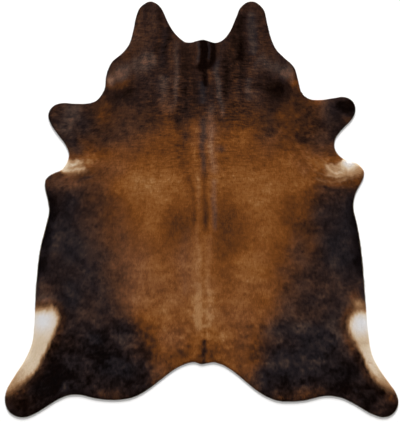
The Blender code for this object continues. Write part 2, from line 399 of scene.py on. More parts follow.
STATIONS = (
    Station(1.080, -0.630, 0.610, 0.155, 0.155, 0.33, 0.33, 0.33, 0.15),
    Station(0.590, -0.630, 0.610, 0.155, 0.155, 0.34, 0.33, 0.34, 0.15),
    Station(0.515, -0.525, 0.510, 0.155, 0.155, 0.36, 0.38, 0.36, 0.15),
    Station(0.450, -0.475, 0.405, 0.155, 0.165, 0.35, 0.46, 0.36, 0.15),
    Station(0.405, -0.420, 0.360, 0.145, 0.155, 0.36, 0.55, 0.40, 0.15),
    Station(0.360, -0.435, 0.360, 0.155, 0.155, 0.42, 0.61, 0.44, 0.15),
    Station(0.305, -0.485, 0.445, 0.155, 0.155, 0.56, 0.65, 0.56, 0.05),
    Station(0.255, -0.525, 0.510, 0.134, 0.134, 0.66, 0.68, 0.68, 0.00),
    Station(0.185, -0.465, 0.530, 0.120, 0.110, 0.50, 0.76, 0.62, 0.00),
    Station(0.140, -0.475, 0.540, 0.130, 0.124, 0.54, 0.78, 0.60, 0.05),
    Station(0.100, -0.500, 0.550, 0.166, 0.134, 0.38, 0.77, 0.36, 0.40),
    Station(0.020, -0.500, 0.520, 0.215, 0.186, 0.30, 0.71, 0.30, 0.80),
    Station(-0.065, -0.525, 0.495, 0.196, 0.155, 0.27, 0.66, 0.26, 0.85),
    Station(-0.150, -0.520, 0.485, 0.200, 0.165, 0.30, 0.66, 0.30, 0.85),
    Station(-0.230, -0.465, 0.475, 0.165, 0.155, 0.32, 0.69, 0.30, 0.80),
    Station(-0.315, -0.440, 0.435, 0.165, 0.145, 0.30, 0.74, 0.32, 0.80),
    Station(-0.395, -0.425, 0.415, 0.145, 0.134, 0.30, 0.77, 0.35, 0.75),
    Station(-0.480, -0.410, 0.395, 0.134, 0.120, 0.33, 0.76, 0.33, 0.70),
    Station(-0.560, -0.370, 0.355, 0.110, 0.095, 0.28, 0.72, 0.35, 0.70),
    Station(-0.645, -0.290, 0.290, 0.095, 0.080, 0.23, 0.67, 0.33, 0.75),
    Station(-0.725, -0.255, 0.270, 0.060, 0.058, 0.18, 0.62, 0.29, 0.75),
    Station(-0.810, -0.255, 0.285, 0.055, 0.055, 0.14, 0.65, 0.24, 0.70),
    Station(-1.090, -0.255, 0.285, 0.055, 0.055, 0.07, 0.62, 0.12, 0.35),
)


def along_stations(y, column):
    """The column's value at each height, straight between its stations."""
    rows = sorted(STATIONS)
    heights = [station.y for station in rows]
    return np.interp(y, heights, [getattr(station, column) for station in rows])


def saddle(x, y):
    """The tone, the grey and how much on the back each place is. A soft step at each
    border leads from the left flank to the back and from there to the right flank. The
    grey, a painted sheen, fades towards the back, where the hair is a warm brown."""
    over_left = smooth_step(
        (x - along_stations(y, "left")) / along_stations(y, "soft_left"), -1, 1
    )
    over_right = smooth_step(
        (x - along_stations(y, "right")) / along_stations(y, "soft_right"), -1, 1
    )
    left_flank = along_stations(y, "left_flank")
    back = along_stations(y, "back")
    right_flank = along_stations(y, "right_flank")
    tone = left_flank + (back - left_flank) * over_left + (right_flank - back) * over_right
    on_back = over_left * (1 - over_right)
    return tone, along_stations(y, "grey") * (1 - on_back) ** 1.7, on_back


print(f"{len(STATIONS)} stations hold the saddle")

# %% [markdown]
# ## Dabs and strokes
# No two parts of a coat have quite the same colour: lighter whorls, black streaks, hair
# that shines blue-grey, its sheen painted in. Each is put one by one: a dab is a soft
# oval, and a stroke is a soft line through a few places. Both add to the tone and to the
# grey, so they may lie over each other in any order. Left and right are as seen from
# above, with the neck up.


# %% What a dab is
class Dab(NamedTuple):
    """A soft oval: its middle, its half width and half height, what it adds to the tone
    and to the grey, which is painted sheen, and how far it is turned anticlockwise in
    degrees."""

    place: str
    x: float
    y: float
    wide: float
    high: float
    tone: float
    grey: float = 0.0
    turn: float = 0.0


def oval(x, y, dab):
    """exp(-(u^2 + v^2)), with u and v the place in the dab's own turned half sizes."""
    turn = math.radians(dab.turn)
    u = ((x - dab.x) * math.cos(turn) + (y - dab.y) * math.sin(turn)) / dab.wide
    v = ((y - dab.y) * math.cos(turn) - (x - dab.x) * math.sin(turn)) / dab.high
    return np.exp(-(u * u + v * v))


print(f"a half size from its middle, a dab has {math.exp(-1):.0%} of its strength left")

# %% Dabs on the neck and the ears
NECK_DABS = (
    Dab("left neck, black", -0.385, 0.605, 0.072, 0.052, -0.14, 0.10),
    Dab("left neck, dark spot", -0.303, 0.659, 0.024, 0.024, -0.08, 0.10),
    Dab("left ear, inner edge", -0.190, 0.955, 0.030, 0.085, -0.07, turn=20),
    Dab("left neck, light", -0.267, 0.765, 0.026, 0.026, 0.06, 0.20),
    Dab("left neck edge, light", -0.468, 0.685, 0.050, 0.042, 0.20, turn=10),
    Dab("left neck, rust spot", -0.425, 0.632, 0.055, 0.024, 0.20, -0.70, 10),
    Dab("left ear, olive brown", -0.290, 0.900, 0.050, 0.090, 0.12, -0.10),
    Dab("left neck, lighter by the middle", -0.096, 0.560, 0.022, 0.110, 0.07),
    Dab("left ear, light outer edge", -0.365, 0.880, 0.040, 0.110, 0.22, 0.10, -10),
    Dab("left ear, light foot", -0.295, 0.785, 0.045, 0.040, 0.05, 0.20),
    Dab("left neck, lighter", -0.215, 0.625, 0.040, 0.060, 0.13, 0.20),
    Dab("left neck, dark at the line", -0.122, 0.540, 0.022, 0.050, -0.15),
    Dab("left neck edge, dark corner", -0.505, 0.655, 0.020, 0.030, -0.16),
    Dab("middle, dark on the left", -0.018, 0.620, 0.020, 0.070, -0.09, 0.10),
    Dab("left neck edge, light tip", -0.485, 0.668, 0.022, 0.030, 0.22, 0.40),
    Dab("left neck edge, dark foot", -0.470, 0.565, 0.030, 0.055, -0.10),
    Dab("left ear, brown outer edge", -0.385, 0.785, 0.045, 0.026, -0.06, -0.60, 40),
    Dab("left neck, light speck", -0.257, 0.659, 0.018, 0.018, 0.14),
    Dab("left neck, gold speck", -0.402, 0.657, 0.018, 0.014, 0.15, -0.50),
    Dab("left neck foot, lighter", -0.420, 0.535, 0.020, 0.030, 0.10),
    Dab("neck, grey", 0.000, 0.740, 0.400, 0.220, 0.00, 0.06),
    Dab("middle, foot of the black", 0.010, 0.735, 0.026, 0.018, -0.30),
    Dab("neck, dark at the top", 0.005, 0.840, 0.060, 0.060, -0.07),
    Dab("right neck, black", 0.400, 0.605, 0.067, 0.057, -0.20, 0.10),
    Dab("right ear, inner edge", 0.157, 0.915, 0.030, 0.085, -0.07, turn=-20),
    Dab("right sheen, high", 0.465, 0.735, 0.026, 0.040, 0.08, 0.20),
    Dab("right neck, rust corner", 0.485, 0.640, 0.045, 0.050, 0.08, -0.60),
    Dab("right neck, light spot", 0.272, 0.560, 0.028, 0.045, 0.12, 0.20),
    Dab("middle, dark on the right", 0.074, 0.760, 0.016, 0.045, -0.14),
    Dab("neck, brown right of the middle", 0.155, 0.715, 0.040, 0.120, -0.02, -0.30),
    Dab("right neck, darker", 0.220, 0.780, 0.035, 0.060, -0.11),
    Dab("right neck, darker low", 0.365, 0.620, 0.040, 0.060, -0.12),
    Dab("right neck, dark by the line", 0.098, 0.765, 0.020, 0.035, -0.10),
    Dab("right neck, dark below the light", 0.290, 0.625, 0.022, 0.030, -0.10),
    Dab("right neck, dark corner", 0.480, 0.615, 0.022, 0.022, -0.12),
    Dab("right neck, rust light", 0.472, 0.697, 0.022, 0.022, 0.13),
    Dab("right ear, dark side", 0.170, 0.745, 0.025, 0.025, -0.06),
)
print(f"{len(NECK_DABS)} dabs on the neck and the ears")

# %% Dabs on the shoulders and the forelegs
FORE_DABS = (
    Dab("gold of the left shoulder", -0.340, 0.175, 0.093, 0.047, 0.05),
    Dab("left foreleg, mauve", -0.700, 0.450, 0.093, 0.083, 0.06, 0.70),
    Dab("left elbow, olive", -0.700, 0.155, 0.090, 0.036, 0.05, 0.40),
    Dab("left armpit, dim edge", -0.640, 0.310, 0.041, 0.026, -0.08, 0.40),
    Dab("left shoulder, grey", -0.420, 0.450, 0.155, 0.100, 0.00, 0.20),
    Dab("left elbow, dark streak", -0.600, 0.150, 0.042, 0.011, -0.16, 0.40, 5),
    Dab("left shoulder, gold", -0.565, 0.272, 0.065, 0.028, 0.20, -0.20, 15),
    Dab("left foreleg, light top", -0.640, 0.530, 0.031, 0.016, 0.20, 0.30),
    Dab("left foreleg, shade", -0.600, 0.430, 0.031, 0.062, -0.04, 0.30),
    Dab("left foreleg, dark root", -0.670, 0.350, 0.031, 0.041, -0.14, 0.50),
    Dab("left shoulder, rust", -0.510, 0.505, 0.031, 0.062, 0.12, -0.30),
    Dab("left shoulder, cool", -0.360, 0.380, 0.130, 0.100, 0.00, 0.20),
    Dab("left shoulder border, brown", -0.430, 0.100, 0.090, 0.070, 0.08, -0.10),
    Dab("left shoulder, cool top", -0.350, 0.510, 0.080, 0.060, 0.00, 0.20),
    Dab("left foreleg, cool top", -0.650, 0.510, 0.070, 0.050, 0.00, 0.30),
    Dab("left armpit, cool inside", -0.470, 0.210, 0.090, 0.090, 0.00, 0.18),
    Dab("left shoulder, lighter", -0.570, 0.365, 0.050, 0.045, 0.12, 0.20),
    Dab("left of the withers, gold", -0.200, 0.165, 0.060, 0.080, 0.08, -0.20),
    Dab("left elbow, dark tip", -0.800, 0.170, 0.030, 0.040, -0.24),
    Dab("left foreleg, light edge", -0.715, 0.410, 0.045, 0.030, 0.12, 0.40, -40),
    Dab("withers, pink", 0.015, 0.410, 0.070, 0.070, 0.11, 0.35),
    Dab("withers, dark spot", 0.095, 0.312, 0.022, 0.016, -0.16, 0.50),
    Dab("withers, cool", 0.055, 0.570, 0.040, 0.090, -0.02, 0.40),
    Dab("right armpit, dark arc", 0.670, 0.285, 0.026, 0.021, -0.22, -0.10, 30),
    Dab("right armpit, gold fan", 0.590, 0.260, 0.055, 0.035, 0.12, -0.30, -25),
    Dab("right armpit, dark streak", 0.655, 0.110, 0.050, 0.011, -0.20, turn=-8),
    Dab("right foreleg, mauve", 0.665, 0.475, 0.083, 0.103, 0.03, 0.60),
    Dab("right foreleg, black toe", 0.735, 0.530, 0.062, 0.047, -0.30, 0.10),
    Dab("right foreleg, black edge", 0.700, 0.410, 0.026, 0.047, -0.12, turn=-30),
    Dab("right foreleg, brown toe", 0.760, 0.465, 0.021, 0.021, 0.08, -0.20),
    Dab("right foreleg, light top", 0.600, 0.560, 0.036, 0.016, 0.32, -0.20),
    Dab("right shoulder, rust", 0.460, 0.520, 0.060, 0.075, 0.08, -0.30),
    Dab("right shoulder, cool", 0.380, 0.380, 0.090, 0.100, 0.00, 0.10),
    Dab("right foreleg, black tip", 0.775, 0.525, 0.040, 0.045, -0.26),
    Dab("right shoulder, red-brown", 0.520, 0.470, 0.080, 0.110, 0.03, -0.40),
    Dab("right of the withers, light", 0.160, 0.365, 0.080, 0.060, 0.10),
    Dab("right foreleg, dark tip edge", 0.790, 0.490, 0.028, 0.045, -0.16),
    Dab("right armpit, cool inside", 0.555, 0.220, 0.070, 0.090, 0.00, 0.22),
    Dab("withers, warm on the right", 0.150, 0.500, 0.045, 0.045, 0.00, -0.35),
    Dab("right shoulder edge, dark", 0.510, 0.540, 0.025, 0.030, -0.10),
    Dab("right foreleg, light", 0.650, 0.535, 0.045, 0.045, 0.26, 0.20),
    Dab("right shoulder, lighter", 0.425, 0.400, 0.085, 0.065, 0.13, 0.10),
    Dab("right armpit, gold", 0.605, 0.190, 0.050, 0.060, 0.10),
    Dab("right elbow, dark tip", 0.835, 0.165, 0.020, 0.045, -0.14),
    Dab("right foreleg, dark edge", 0.735, 0.415, 0.026, 0.040, -0.20, turn=-30),
    Dab("right withers, lighter", 0.120, 0.520, 0.030, 0.040, 0.08, 0.20),
)
print(f"{len(FORE_DABS)} dabs on the shoulders and the forelegs")

# %% Dabs on the back and the loin
BACK_DABS = (
    Dab("gold left of the spine, high", -0.255, 0.100, 0.114, 0.083, 0.10),
    Dab("gold left of the spine", -0.255, -0.005, 0.062, 0.072, 0.10),
    Dab("gold left of the spine, low", -0.255, -0.095, 0.052, 0.062, 0.08),
    Dab("shade left of the spine", -0.145, -0.075, 0.072, 0.114, -0.12),
    Dab("gold left of the loin", -0.185, -0.270, 0.083, 0.072, 0.07),
    Dab("gold left of the loin, low", -0.135, -0.500, 0.083, 0.083, 0.08),
    Dab("gold left of the tail", -0.175, -0.800, 0.072, 0.041, 0.06),
    Dab("left border, cool", -0.410, -0.180, 0.045, 0.170, 0.00, 0.25),
    Dab("left border, cool, low", -0.370, -0.380, 0.060, 0.170, 0.00, 0.28),
    Dab("loin, cool on the left", -0.200, -0.420, 0.190, 0.250, 0.00, 0.16),
    Dab("rump, cool on the left", -0.220, -0.800, 0.060, 0.080, 0.00, 0.12),
    Dab("left border, lighter", -0.575, -0.270, 0.050, 0.230, 0.08, 0.10),
    Dab("left back, golden", -0.270, 0.120, 0.110, 0.110, 0.00, -0.35),
    Dab("left loin, cool band", -0.310, -0.330, 0.050, 0.200, 0.00, 0.15),
    Dab("left border, dark spot", -0.480, -0.235, 0.035, 0.035, -0.08),
    Dab("left back, light spot", -0.240, -0.130, 0.050, 0.060, 0.07),
    Dab("left loin, light spot", -0.110, -0.340, 0.040, 0.060, 0.05),
    Dab("left loin foot, dark spot", -0.230, -0.620, 0.035, 0.035, -0.06),
    Dab("rump, cool on the left, high", -0.150, -0.670, 0.080, 0.060, 0.00, 0.20),
    Dab("rump, cool on the left, low", -0.225, -0.850, 0.050, 0.050, 0.00, 0.25),
    Dab("back, warm by the spine, left", -0.125, -0.060, 0.050, 0.070, 0.00, -0.35),
    Dab("left rump edge, lighter", -0.240, -0.730, 0.050, 0.050, 0.05),
    Dab("left of the loin, lighter", -0.250, -0.340, 0.100, 0.060, 0.08),
    Dab("shade above the tail", 0.010, -0.740, 0.093, 0.036, -0.08),
    Dab("loin, light low", -0.010, -0.560, 0.045, 0.150, 0.06),
    Dab("loin foot, light spot", -0.010, -0.650, 0.065, 0.050, 0.06, -0.10),
    Dab("tail, warm", 0.040, -0.700, 0.035, 0.050, 0.00, -0.40),
    Dab("shade right of the spine", 0.125, -0.085, 0.083, 0.134, -0.12),
    Dab("gold right of the spine", 0.300, 0.030, 0.093, 0.093, 0.10),
    Dab("gold right of the spine, low", 0.345, -0.125, 0.072, 0.072, 0.12),
    Dab("gold right of the loin", 0.260, -0.270, 0.083, 0.072, 0.12),
    Dab("gold low on the right", 0.135, -0.625, 0.072, 0.103, 0.05),
    Dab("gold right of the tail", 0.180, -0.790, 0.072, 0.052, 0.06),
    Dab("right of the loin, shade", 0.095, -0.310, 0.035, 0.120, -0.05),
    Dab("loin, cool on the right", 0.170, -0.550, 0.150, 0.200, 0.00, 0.14),
    Dab("rump, cool on the right", 0.240, -0.800, 0.060, 0.080, 0.00, 0.16),
    Dab("right border, warm", 0.500, 0.030, 0.080, 0.100, 0.05, -0.30),
    Dab("right of the loin, soft shade", 0.120, -0.300, 0.060, 0.130, -0.05),
    Dab("right back, golden", 0.320, 0.130, 0.150, 0.090, 0.03, -0.30),
    Dab("right back, golden low", 0.400, -0.110, 0.070, 0.070, 0.08, -0.10),
    Dab("right loin foot, lighter", 0.195, -0.660, 0.050, 0.050, 0.07),
    Dab("right loin, darker", 0.350, -0.620, 0.035, 0.035, -0.12),
    Dab("right loin, light spot", 0.385, -0.290, 0.045, 0.050, 0.06),
    Dab("right back, light spot", 0.255, 0.100, 0.050, 0.040, 0.05),
    Dab("rump, cool on the right, high", 0.245, -0.650, 0.060, 0.070, 0.02, 0.20),
    Dab("rump, cool on the right, low", 0.275, -0.870, 0.050, 0.060, 0.00, 0.25),
    Dab("back, warm by the spine, right", 0.145, -0.110, 0.045, 0.090, 0.00, -0.30),
    Dab("loin, light on the right", 0.070, -0.520, 0.030, 0.130, 0.06),
    Dab("right border, brown low", 0.520, -0.540, 0.060, 0.050, 0.06),
    Dab("right border, lighter", 0.490, -0.440, 0.060, 0.140, 0.10, -0.20),
    Dab("right rump, lighter", 0.320, -0.770, 0.055, 0.090, 0.14, 0.10),
    Dab("right loin foot, light spot", 0.312, -0.572, 0.032, 0.035, 0.10),
    Dab("right loin foot, dark spot", 0.265, -0.630, 0.038, 0.030, -0.09),
    Dab("right rump edge, dark", 0.262, -0.890, 0.028, 0.028, -0.20, 0.10),
)
print(f"{len(BACK_DABS)} dabs on the back and the loin")

# %% Dabs on the flanks and the belly
FLANK_DABS = (
    Dab("left flank, blue sheen", -0.710, -0.140, 0.072, 0.083, 0.04, 0.40),
    Dab("left belly, blue sheen", -0.670, -0.450, 0.041, 0.072, 0.02, 0.40),
    Dab("left belly, rust", -0.800, -0.420, 0.041, 0.047, 0.12),
    Dab("left flank, brown", -0.610, -0.020, 0.055, 0.080, 0.08, -0.20),
    Dab("left belly edge, black", -0.850, -0.330, 0.018, 0.130, -0.12),
    Dab("flank, cool on the left", -0.640, -0.160, 0.160, 0.300, 0.00, 0.15),
    Dab("right flank, blue sheen", 0.725, -0.190, 0.062, 0.155, -0.02, 0.40),
    Dab("right flank, warm", 0.555, -0.120, 0.062, 0.200, 0.04, -0.40),
    Dab("right flank, lighter", 0.590, -0.300, 0.052, 0.135, 0.04, -0.10),
    Dab("right belly, rust", 0.785, -0.450, 0.031, 0.047, 0.10, -0.40),
    Dab("right flank, cool border", 0.500, -0.200, 0.050, 0.090, -0.04, 0.25),
    Dab("right flank, light spot", 0.580, -0.210, 0.040, 0.050, 0.12),
    Dab("right belly edge, black", 0.850, -0.330, 0.018, 0.130, -0.12),
    Dab("right flank foot, lighter", 0.620, -0.485, 0.045, 0.050, 0.12),
)
print(f"{len(FLANK_DABS)} dabs on the flanks and the belly")

# %% Dabs on the thighs and the hind legs
HIND_DABS = (
    Dab("left thigh, blue sheen high", -0.530, -0.672, 0.052, 0.030, 0.15, 0.80, -15),
    # painted shade of a wrinkle across the left thigh
    Dab("left thigh, black streak", -0.520, -0.735, 0.075, 0.018, -0.22, turn=-22),
    Dab("left thigh, blue sheen low", -0.445, -0.810, 0.114, 0.047, 0.05, 0.60),
    Dab("left thigh, sheen", -0.400, -0.705, 0.052, 0.045, 0.10, 0.30, -40),
    Dab("left thigh, black foot", -0.735, -0.810, 0.134, 0.052, -0.03),
    Dab("left lower edge, brown", -0.475, -0.962, 0.125, 0.028, 0.16, -0.30),
    Dab("left lower border, warm", -0.285, -0.730, 0.052, 0.100, 0.02, -0.50),
    Dab("left hind toe, brown", -0.990, -0.950, 0.034, 0.050, 0.15, -0.40, -35),
    Dab("left hind leg, black", -0.780, -0.900, 0.104, 0.041, -0.12, turn=25),
    Dab("left hind leg, black spot", -0.735, -0.920, 0.026, 0.021, -0.20),
    Dab("left hind leg, sheen", -0.700, -0.930, 0.014, 0.028, 0.30, 0.60, 20),
    Dab("left thigh, by the border", -0.345, -0.700, 0.080, 0.070, 0.17, 0.10),
    Dab("left thigh, high", -0.680, -0.650, 0.085, 0.060, 0.06),
    Dab("left thigh, brown by the patch", -0.700, -0.690, 0.055, 0.050, 0.16),
    Dab("left thigh, high by the border", -0.440, -0.570, 0.060, 0.050, 0.10, -0.20),
    Dab("left patch, tan fringe", -0.800, -0.470, 0.045, 0.024, 0.26, 0.50),
    Dab("left thigh border, warm", -0.330, -0.650, 0.070, 0.120, 0.00, -0.25),
    Dab("left hind leg, dark by the patch", -0.735, -0.535, 0.030, 0.045, -0.10),
    Dab("left thigh, inner edge lighter", -0.350, -0.755, 0.045, 0.070, 0.09, -0.10),
    Dab("left hind toe, black", -0.925, -0.990, 0.070, 0.055, -0.10, -0.70),
    Dab("right thigh, blue sheen high", 0.600, -0.655, 0.110, 0.055, 0.06, 0.60),
    Dab("right thigh, blue sheen", 0.475, -0.800, 0.120, 0.070, 0.03, 0.60, 25),
    Dab("right thigh, black", 0.705, -0.840, 0.083, 0.041, -0.12),
    Dab("right lower edge, brown", 0.500, -0.955, 0.125, 0.032, 0.20, -0.50),
    Dab("right lower border, warm", 0.295, -0.740, 0.052, 0.100, 0.03, -0.50),
    Dab("right hind toe, black", 0.900, -0.925, 0.062, 0.062, -0.12),
    Dab("right hind toe, brown", 0.995, -0.985, 0.032, 0.050, 0.17, -0.40, 35),
    Dab("right thigh, by the border", 0.330, -0.660, 0.060, 0.090, 0.07),
    Dab("right patch, tan fringe", 0.812, -0.458, 0.030, 0.025, 0.22, -0.10),
    Dab("right thigh, light streak", 0.380, -0.730, 0.040, 0.025, 0.08, 0.10),
    Dab("right thigh, dark streak", 0.390, -0.795, 0.060, 0.025, -0.08),
    Dab("right thigh border, warm", 0.365, -0.700, 0.070, 0.060, 0.00, -0.25),
    Dab("right lower edge, far", 0.430, -0.985, 0.070, 0.022, 0.12, -0.20),
    Dab("right hind leg, black", 0.730, -0.890, 0.045, 0.035, -0.12),
    Dab("right thigh, brown by the patch", 0.725, -0.700, 0.035, 0.040, 0.11),
    Dab("thigh, cool on the right", 0.540, -0.720, 0.200, 0.180, 0.02, 0.20),
    Dab("right thigh, light spot", 0.430, -0.680, 0.035, 0.030, 0.10),
    Dab("right lower edge, brown end", 0.622, -0.934, 0.040, 0.028, 0.14, -0.20),
    Dab("right thigh, darker", 0.530, -0.745, 0.055, 0.035, -0.06),
    # painted sheen: the grey specks on the right hind toe and leg
    Dab("right hind toe, grey speck", 0.825, -0.980, 0.020, 0.018, 0.18, 0.50),
    Dab("right hind leg, grey speck", 0.788, -0.929, 0.018, 0.018, 0.12, 0.50),
    Dab("right hind toe, lighter tip", 0.985, -0.995, 0.022, 0.022, 0.10, 0.20),
)
print(f"{len(HIND_DABS)} dabs on the thighs and the hind legs")

# %% What a stroke is
FADE_IN = 0.12  # the share of a stroke's length over which it fades in
FADE_OUT = 0.15


class Stroke(NamedTuple):
    """A soft line down the hide through two or more places, its half width, and what it
    adds to the tone and to the grey, which is painted sheen."""

    place: str
    points: tuple
    half_width: float
    tone: float
    grey: float = 0.0


def along_stroke(x, y, line):
    """exp(-(distance / half width)^2) beside the line, faded out over its ends."""
    nearest = np.full(x.shape, np.inf)
    walked = np.zeros(x.shape)
    length_so_far = 0.0
    for (from_x, from_y), (to_x, to_y) in zip(line.points, line.points[1:]):
        side_x = to_x - from_x
        side_y = to_y - from_y
        length = math.hypot(side_x, side_y)
        share = ((x - from_x) * side_x + (y - from_y) * side_y) / length**2
        share = np.clip(share, 0, 1)
        away = np.hypot(x - from_x - share * side_x, y - from_y - share * side_y)
        walked = np.where(away < nearest, length_so_far + share * length, walked)
        nearest = np.minimum(nearest, away)
        length_so_far += length
    share = walked / length_so_far
    fade = smooth_step(share, 0, FADE_IN) * smooth_step(share, 1, 1 - FADE_OUT)
    return fade * np.exp(-((nearest / line.half_width) ** 2))


print(f"a stroke is whole from {FADE_IN:.0%} to {1 - FADE_OUT:.0%} of its length")

# %% Strokes on the neck and the ears
# The neck's light, blue and blue-grey lines and its sheens are painted sheen.
NECK_STROKES = (
    Stroke("left ear, dark edge",
           ((-0.195, 0.960), (-0.200, 0.775), (-0.200, 0.710)), 0.021, -0.09, 0.30),
    Stroke("left ear, dark tip", ((-0.285, 1.040), (-0.235, 1.020)), 0.021, -0.06),
    Stroke("left neck, light line",
           ((-0.130, 0.900), (-0.128, 0.720), (-0.131, 0.585),
            (-0.148, 0.530), (-0.162, 0.470)), 0.015, 0.24, 0.60),
    Stroke("left neck, brown band",
           ((-0.078, 0.860), (-0.075, 0.700), (-0.075, 0.565)), 0.030, -0.14, -0.25),
    Stroke("left neck, black dashes",
           ((-0.060, 0.600), (-0.085, 0.530), (-0.130, 0.440)), 0.022, -0.15, 0.10),
    Stroke("left neck, light low",
           ((-0.200, 0.710), (-0.190, 0.575), (-0.185, 0.475)), 0.034, 0.15, 0.30),
    Stroke("left sheen", ((-0.220, 0.790), (-0.350, 0.740), (-0.460, 0.690)), 0.048, 0.24, 0.50),
    Stroke("left sheen, edge", ((-0.390, 0.700), (-0.460, 0.670), (-0.490, 0.640)), 0.024, 0.14, 0.20),
    Stroke("left rust edge", ((-0.520, 0.645), (-0.470, 0.655)), 0.026, 0.18, -0.40),
    Stroke("middle, black", ((0.008, 0.930), (0.010, 0.775), (0.012, 0.710)), 0.018, -0.62),
    Stroke("middle, dark below", ((0.012, 0.740), (0.018, 0.630)), 0.014, -0.26, -0.10),
    Stroke("middle, blue-grey line", ((0.036, 0.880), (0.036, 0.765)), 0.008, 0.10, 0.90),
    Stroke("middle, mauve line", ((-0.020, 0.880), (-0.018, 0.750)), 0.009, 0.14, 0.60),
    Stroke("middle, red-brown line",
           ((0.064, 0.730), (0.068, 0.600), (0.072, 0.530)), 0.010, 0.05, -0.30),
    Stroke("orange line", ((0.037, 0.730), (0.037, 0.640)), 0.009, 0.16, -0.30),
    Stroke("middle, blue", ((0.004, 0.670), (0.002, 0.600), (0.004, 0.535)), 0.019, 0.05, 1.00),
    Stroke("middle, black on the right",
           ((0.058, 0.900), (0.058, 0.775), (0.045, 0.745), (0.012, 0.730)), 0.012, -0.34),
    Stroke("right neck, light line",
           ((0.088, 0.800), (0.068, 0.710), (0.084, 0.640),
            (0.088, 0.590), (0.104, 0.540), (0.112, 0.450)), 0.014, 0.21, 0.90),
    Stroke("right neck, dark line", ((0.130, 0.840), (0.126, 0.565)), 0.015, -0.16),
    Stroke("right ear, dark line",
           ((0.220, 1.020), (0.195, 0.930), (0.190, 0.765)), 0.023, -0.20, 0.20),
    Stroke("right ear, light line",
           ((0.260, 1.030), (0.266, 0.910), (0.262, 0.780)), 0.024, 0.11, 0.90),
    Stroke("right neck, light below", ((0.245, 0.690), (0.240, 0.550)), 0.020, 0.13, 0.60),
    Stroke("right neck, brown light", ((0.180, 0.650), (0.180, 0.545)), 0.021, 0.11),
    Stroke("right sheen", ((0.280, 0.785), (0.350, 0.745), (0.460, 0.685)), 0.040, 0.20, 0.60),
    Stroke("right sheen, edge", ((0.400, 0.715), (0.460, 0.685), (0.500, 0.640)), 0.026, 0.18, 0.20),
    Stroke("right rust edge", ((0.490, 0.670), (0.505, 0.600)), 0.026, 0.16, -0.40),
    Stroke("neck, dark right of the middle", ((0.030, 0.800), (0.120, 0.750)), 0.016, -0.08),
)
print(f"{len(NECK_STROKES)} strokes on the neck and the ears")

# %% Strokes on the withers and the shoulders
FORE_STROKES = (
    Stroke("shade left of the gold",
           ((-0.080, 0.535), (-0.090, 0.410), (-0.080, 0.330)), 0.021, -0.09, 0.20),
    Stroke("gold of the left withers",
           ((-0.155, 0.545), (-0.175, 0.410), (-0.185, 0.320)), 0.026, 0.10),
    Stroke("gold beside the spine", ((-0.040, 0.485), (-0.035, 0.380), (-0.045, 0.230)), 0.022, 0.14),
    # painted sheen: the pink band just right of the spine
    Stroke("spine, pink", ((0.046, 0.560), (0.048, 0.330), (0.068, 0.160)), 0.024, 0.12, 0.50),
    Stroke("spine, purple", ((0.008, 0.500), (0.005, 0.300), (0.012, 0.130)), 0.016, -0.12, 0.60),
    Stroke("shade right of the pink", ((0.125, 0.505), (0.130, 0.390)), 0.023, -0.07, 0.10),
    Stroke("gold of the right withers", ((0.220, 0.430), (0.210, 0.295)), 0.031, 0.10),
    Stroke("right withers, shade", ((0.345, 0.535), (0.355, 0.360)), 0.036, -0.08, 0.20),
    Stroke("right withers, light", ((0.445, 0.505), (0.455, 0.390)), 0.031, 0.06, -0.10),
    Stroke("right shoulder, shade", ((0.530, 0.475), (0.520, 0.330)), 0.031, -0.08, 0.10),
)
print(f"{len(FORE_STROKES)} strokes on the withers and the shoulders")

# %% Strokes on the back, the rims and the tail
BACK_STROKES = (
    Stroke("left of the spine, pink", ((-0.085, -0.050), (-0.080, -0.470)), 0.045, 0.00, 0.25),
    Stroke("brown band left of the spine",
           ((-0.105, 0.360), (-0.100, 0.240), (-0.085, 0.120)), 0.028, -0.10),
    Stroke("dark line left of the spine",
           ((-0.080, 0.200), (-0.050, 0.100), (-0.044, 0.020), (-0.044, -0.090)), 0.013, -0.16, -0.30),
    Stroke("light line left of the spine",
           ((-0.022, 0.200), (-0.020, 0.020), (-0.024, -0.130)), 0.013, 0.09, 0.10),
    Stroke("light stripe of the loin, left",
           ((-0.030, -0.060), (-0.020, -0.270), (-0.020, -0.700)), 0.018, 0.08, 0.10),
    Stroke("dark line of the spine",
           ((0.010, 0.220), (0.014, 0.100), (0.016, 0.000), (0.014, -0.140)), 0.014, -0.20, -0.40),
    # painted sheen: the mauve band right of the spine, below the pink one
    Stroke("mauve band of the spine",
           ((0.062, 0.170), (0.064, 0.040), (0.064, -0.130)), 0.014, 0.05, 0.60),
    Stroke("light band of the loin",
           ((0.000, -0.060), (0.005, -0.270), (0.005, -0.500), (0.010, -0.780)), 0.055, 0.11),
    Stroke("line between the stripes", ((0.010, -0.115), (0.010, -0.660)), 0.008, -0.03),
    Stroke("tail, black line", ((0.010, -0.660), (0.010, -0.860)), 0.012, -0.48, 0.10),
    Stroke("light line right of the spine", ((0.042, 0.090), (0.042, -0.130)), 0.008, 0.07),
    Stroke("light stripe of the loin, right",
           ((0.040, -0.100), (0.040, -0.315), (0.042, -0.630)), 0.018, 0.07, 0.10),
    Stroke("left flank, black rim",
           ((-0.790, 0.100), (-0.780, -0.030), (-0.810, -0.180), (-0.838, -0.360)), 0.032, -0.34),
    Stroke("right flank, black rim",
           ((0.780, 0.100), (0.782, -0.030), (0.803, -0.150), (0.836, -0.380)), 0.028, -0.30),
    Stroke("left lower rim, brown",
           ((-0.540, -0.965), (-0.460, -0.982), (-0.370, -0.965)), 0.014, 0.06, -0.20),
    Stroke("right lower rim, brown",
           ((0.350, -0.968), (0.460, -0.985), (0.580, -0.968)), 0.015, 0.24, -0.10),
)
print(f"{len(BACK_STROKES)} strokes on the back, the rims and the tail")

# %% All the dabs and strokes
DABS = (*NECK_DABS, *FORE_DABS, *BACK_DABS, *FLANK_DABS, *HIND_DABS)
STROKES = (*NECK_STROKES, *FORE_STROKES, *BACK_STROKES)
print(f"{len(DABS)} dabs and {len(STROKES)} strokes are put on the saddle")

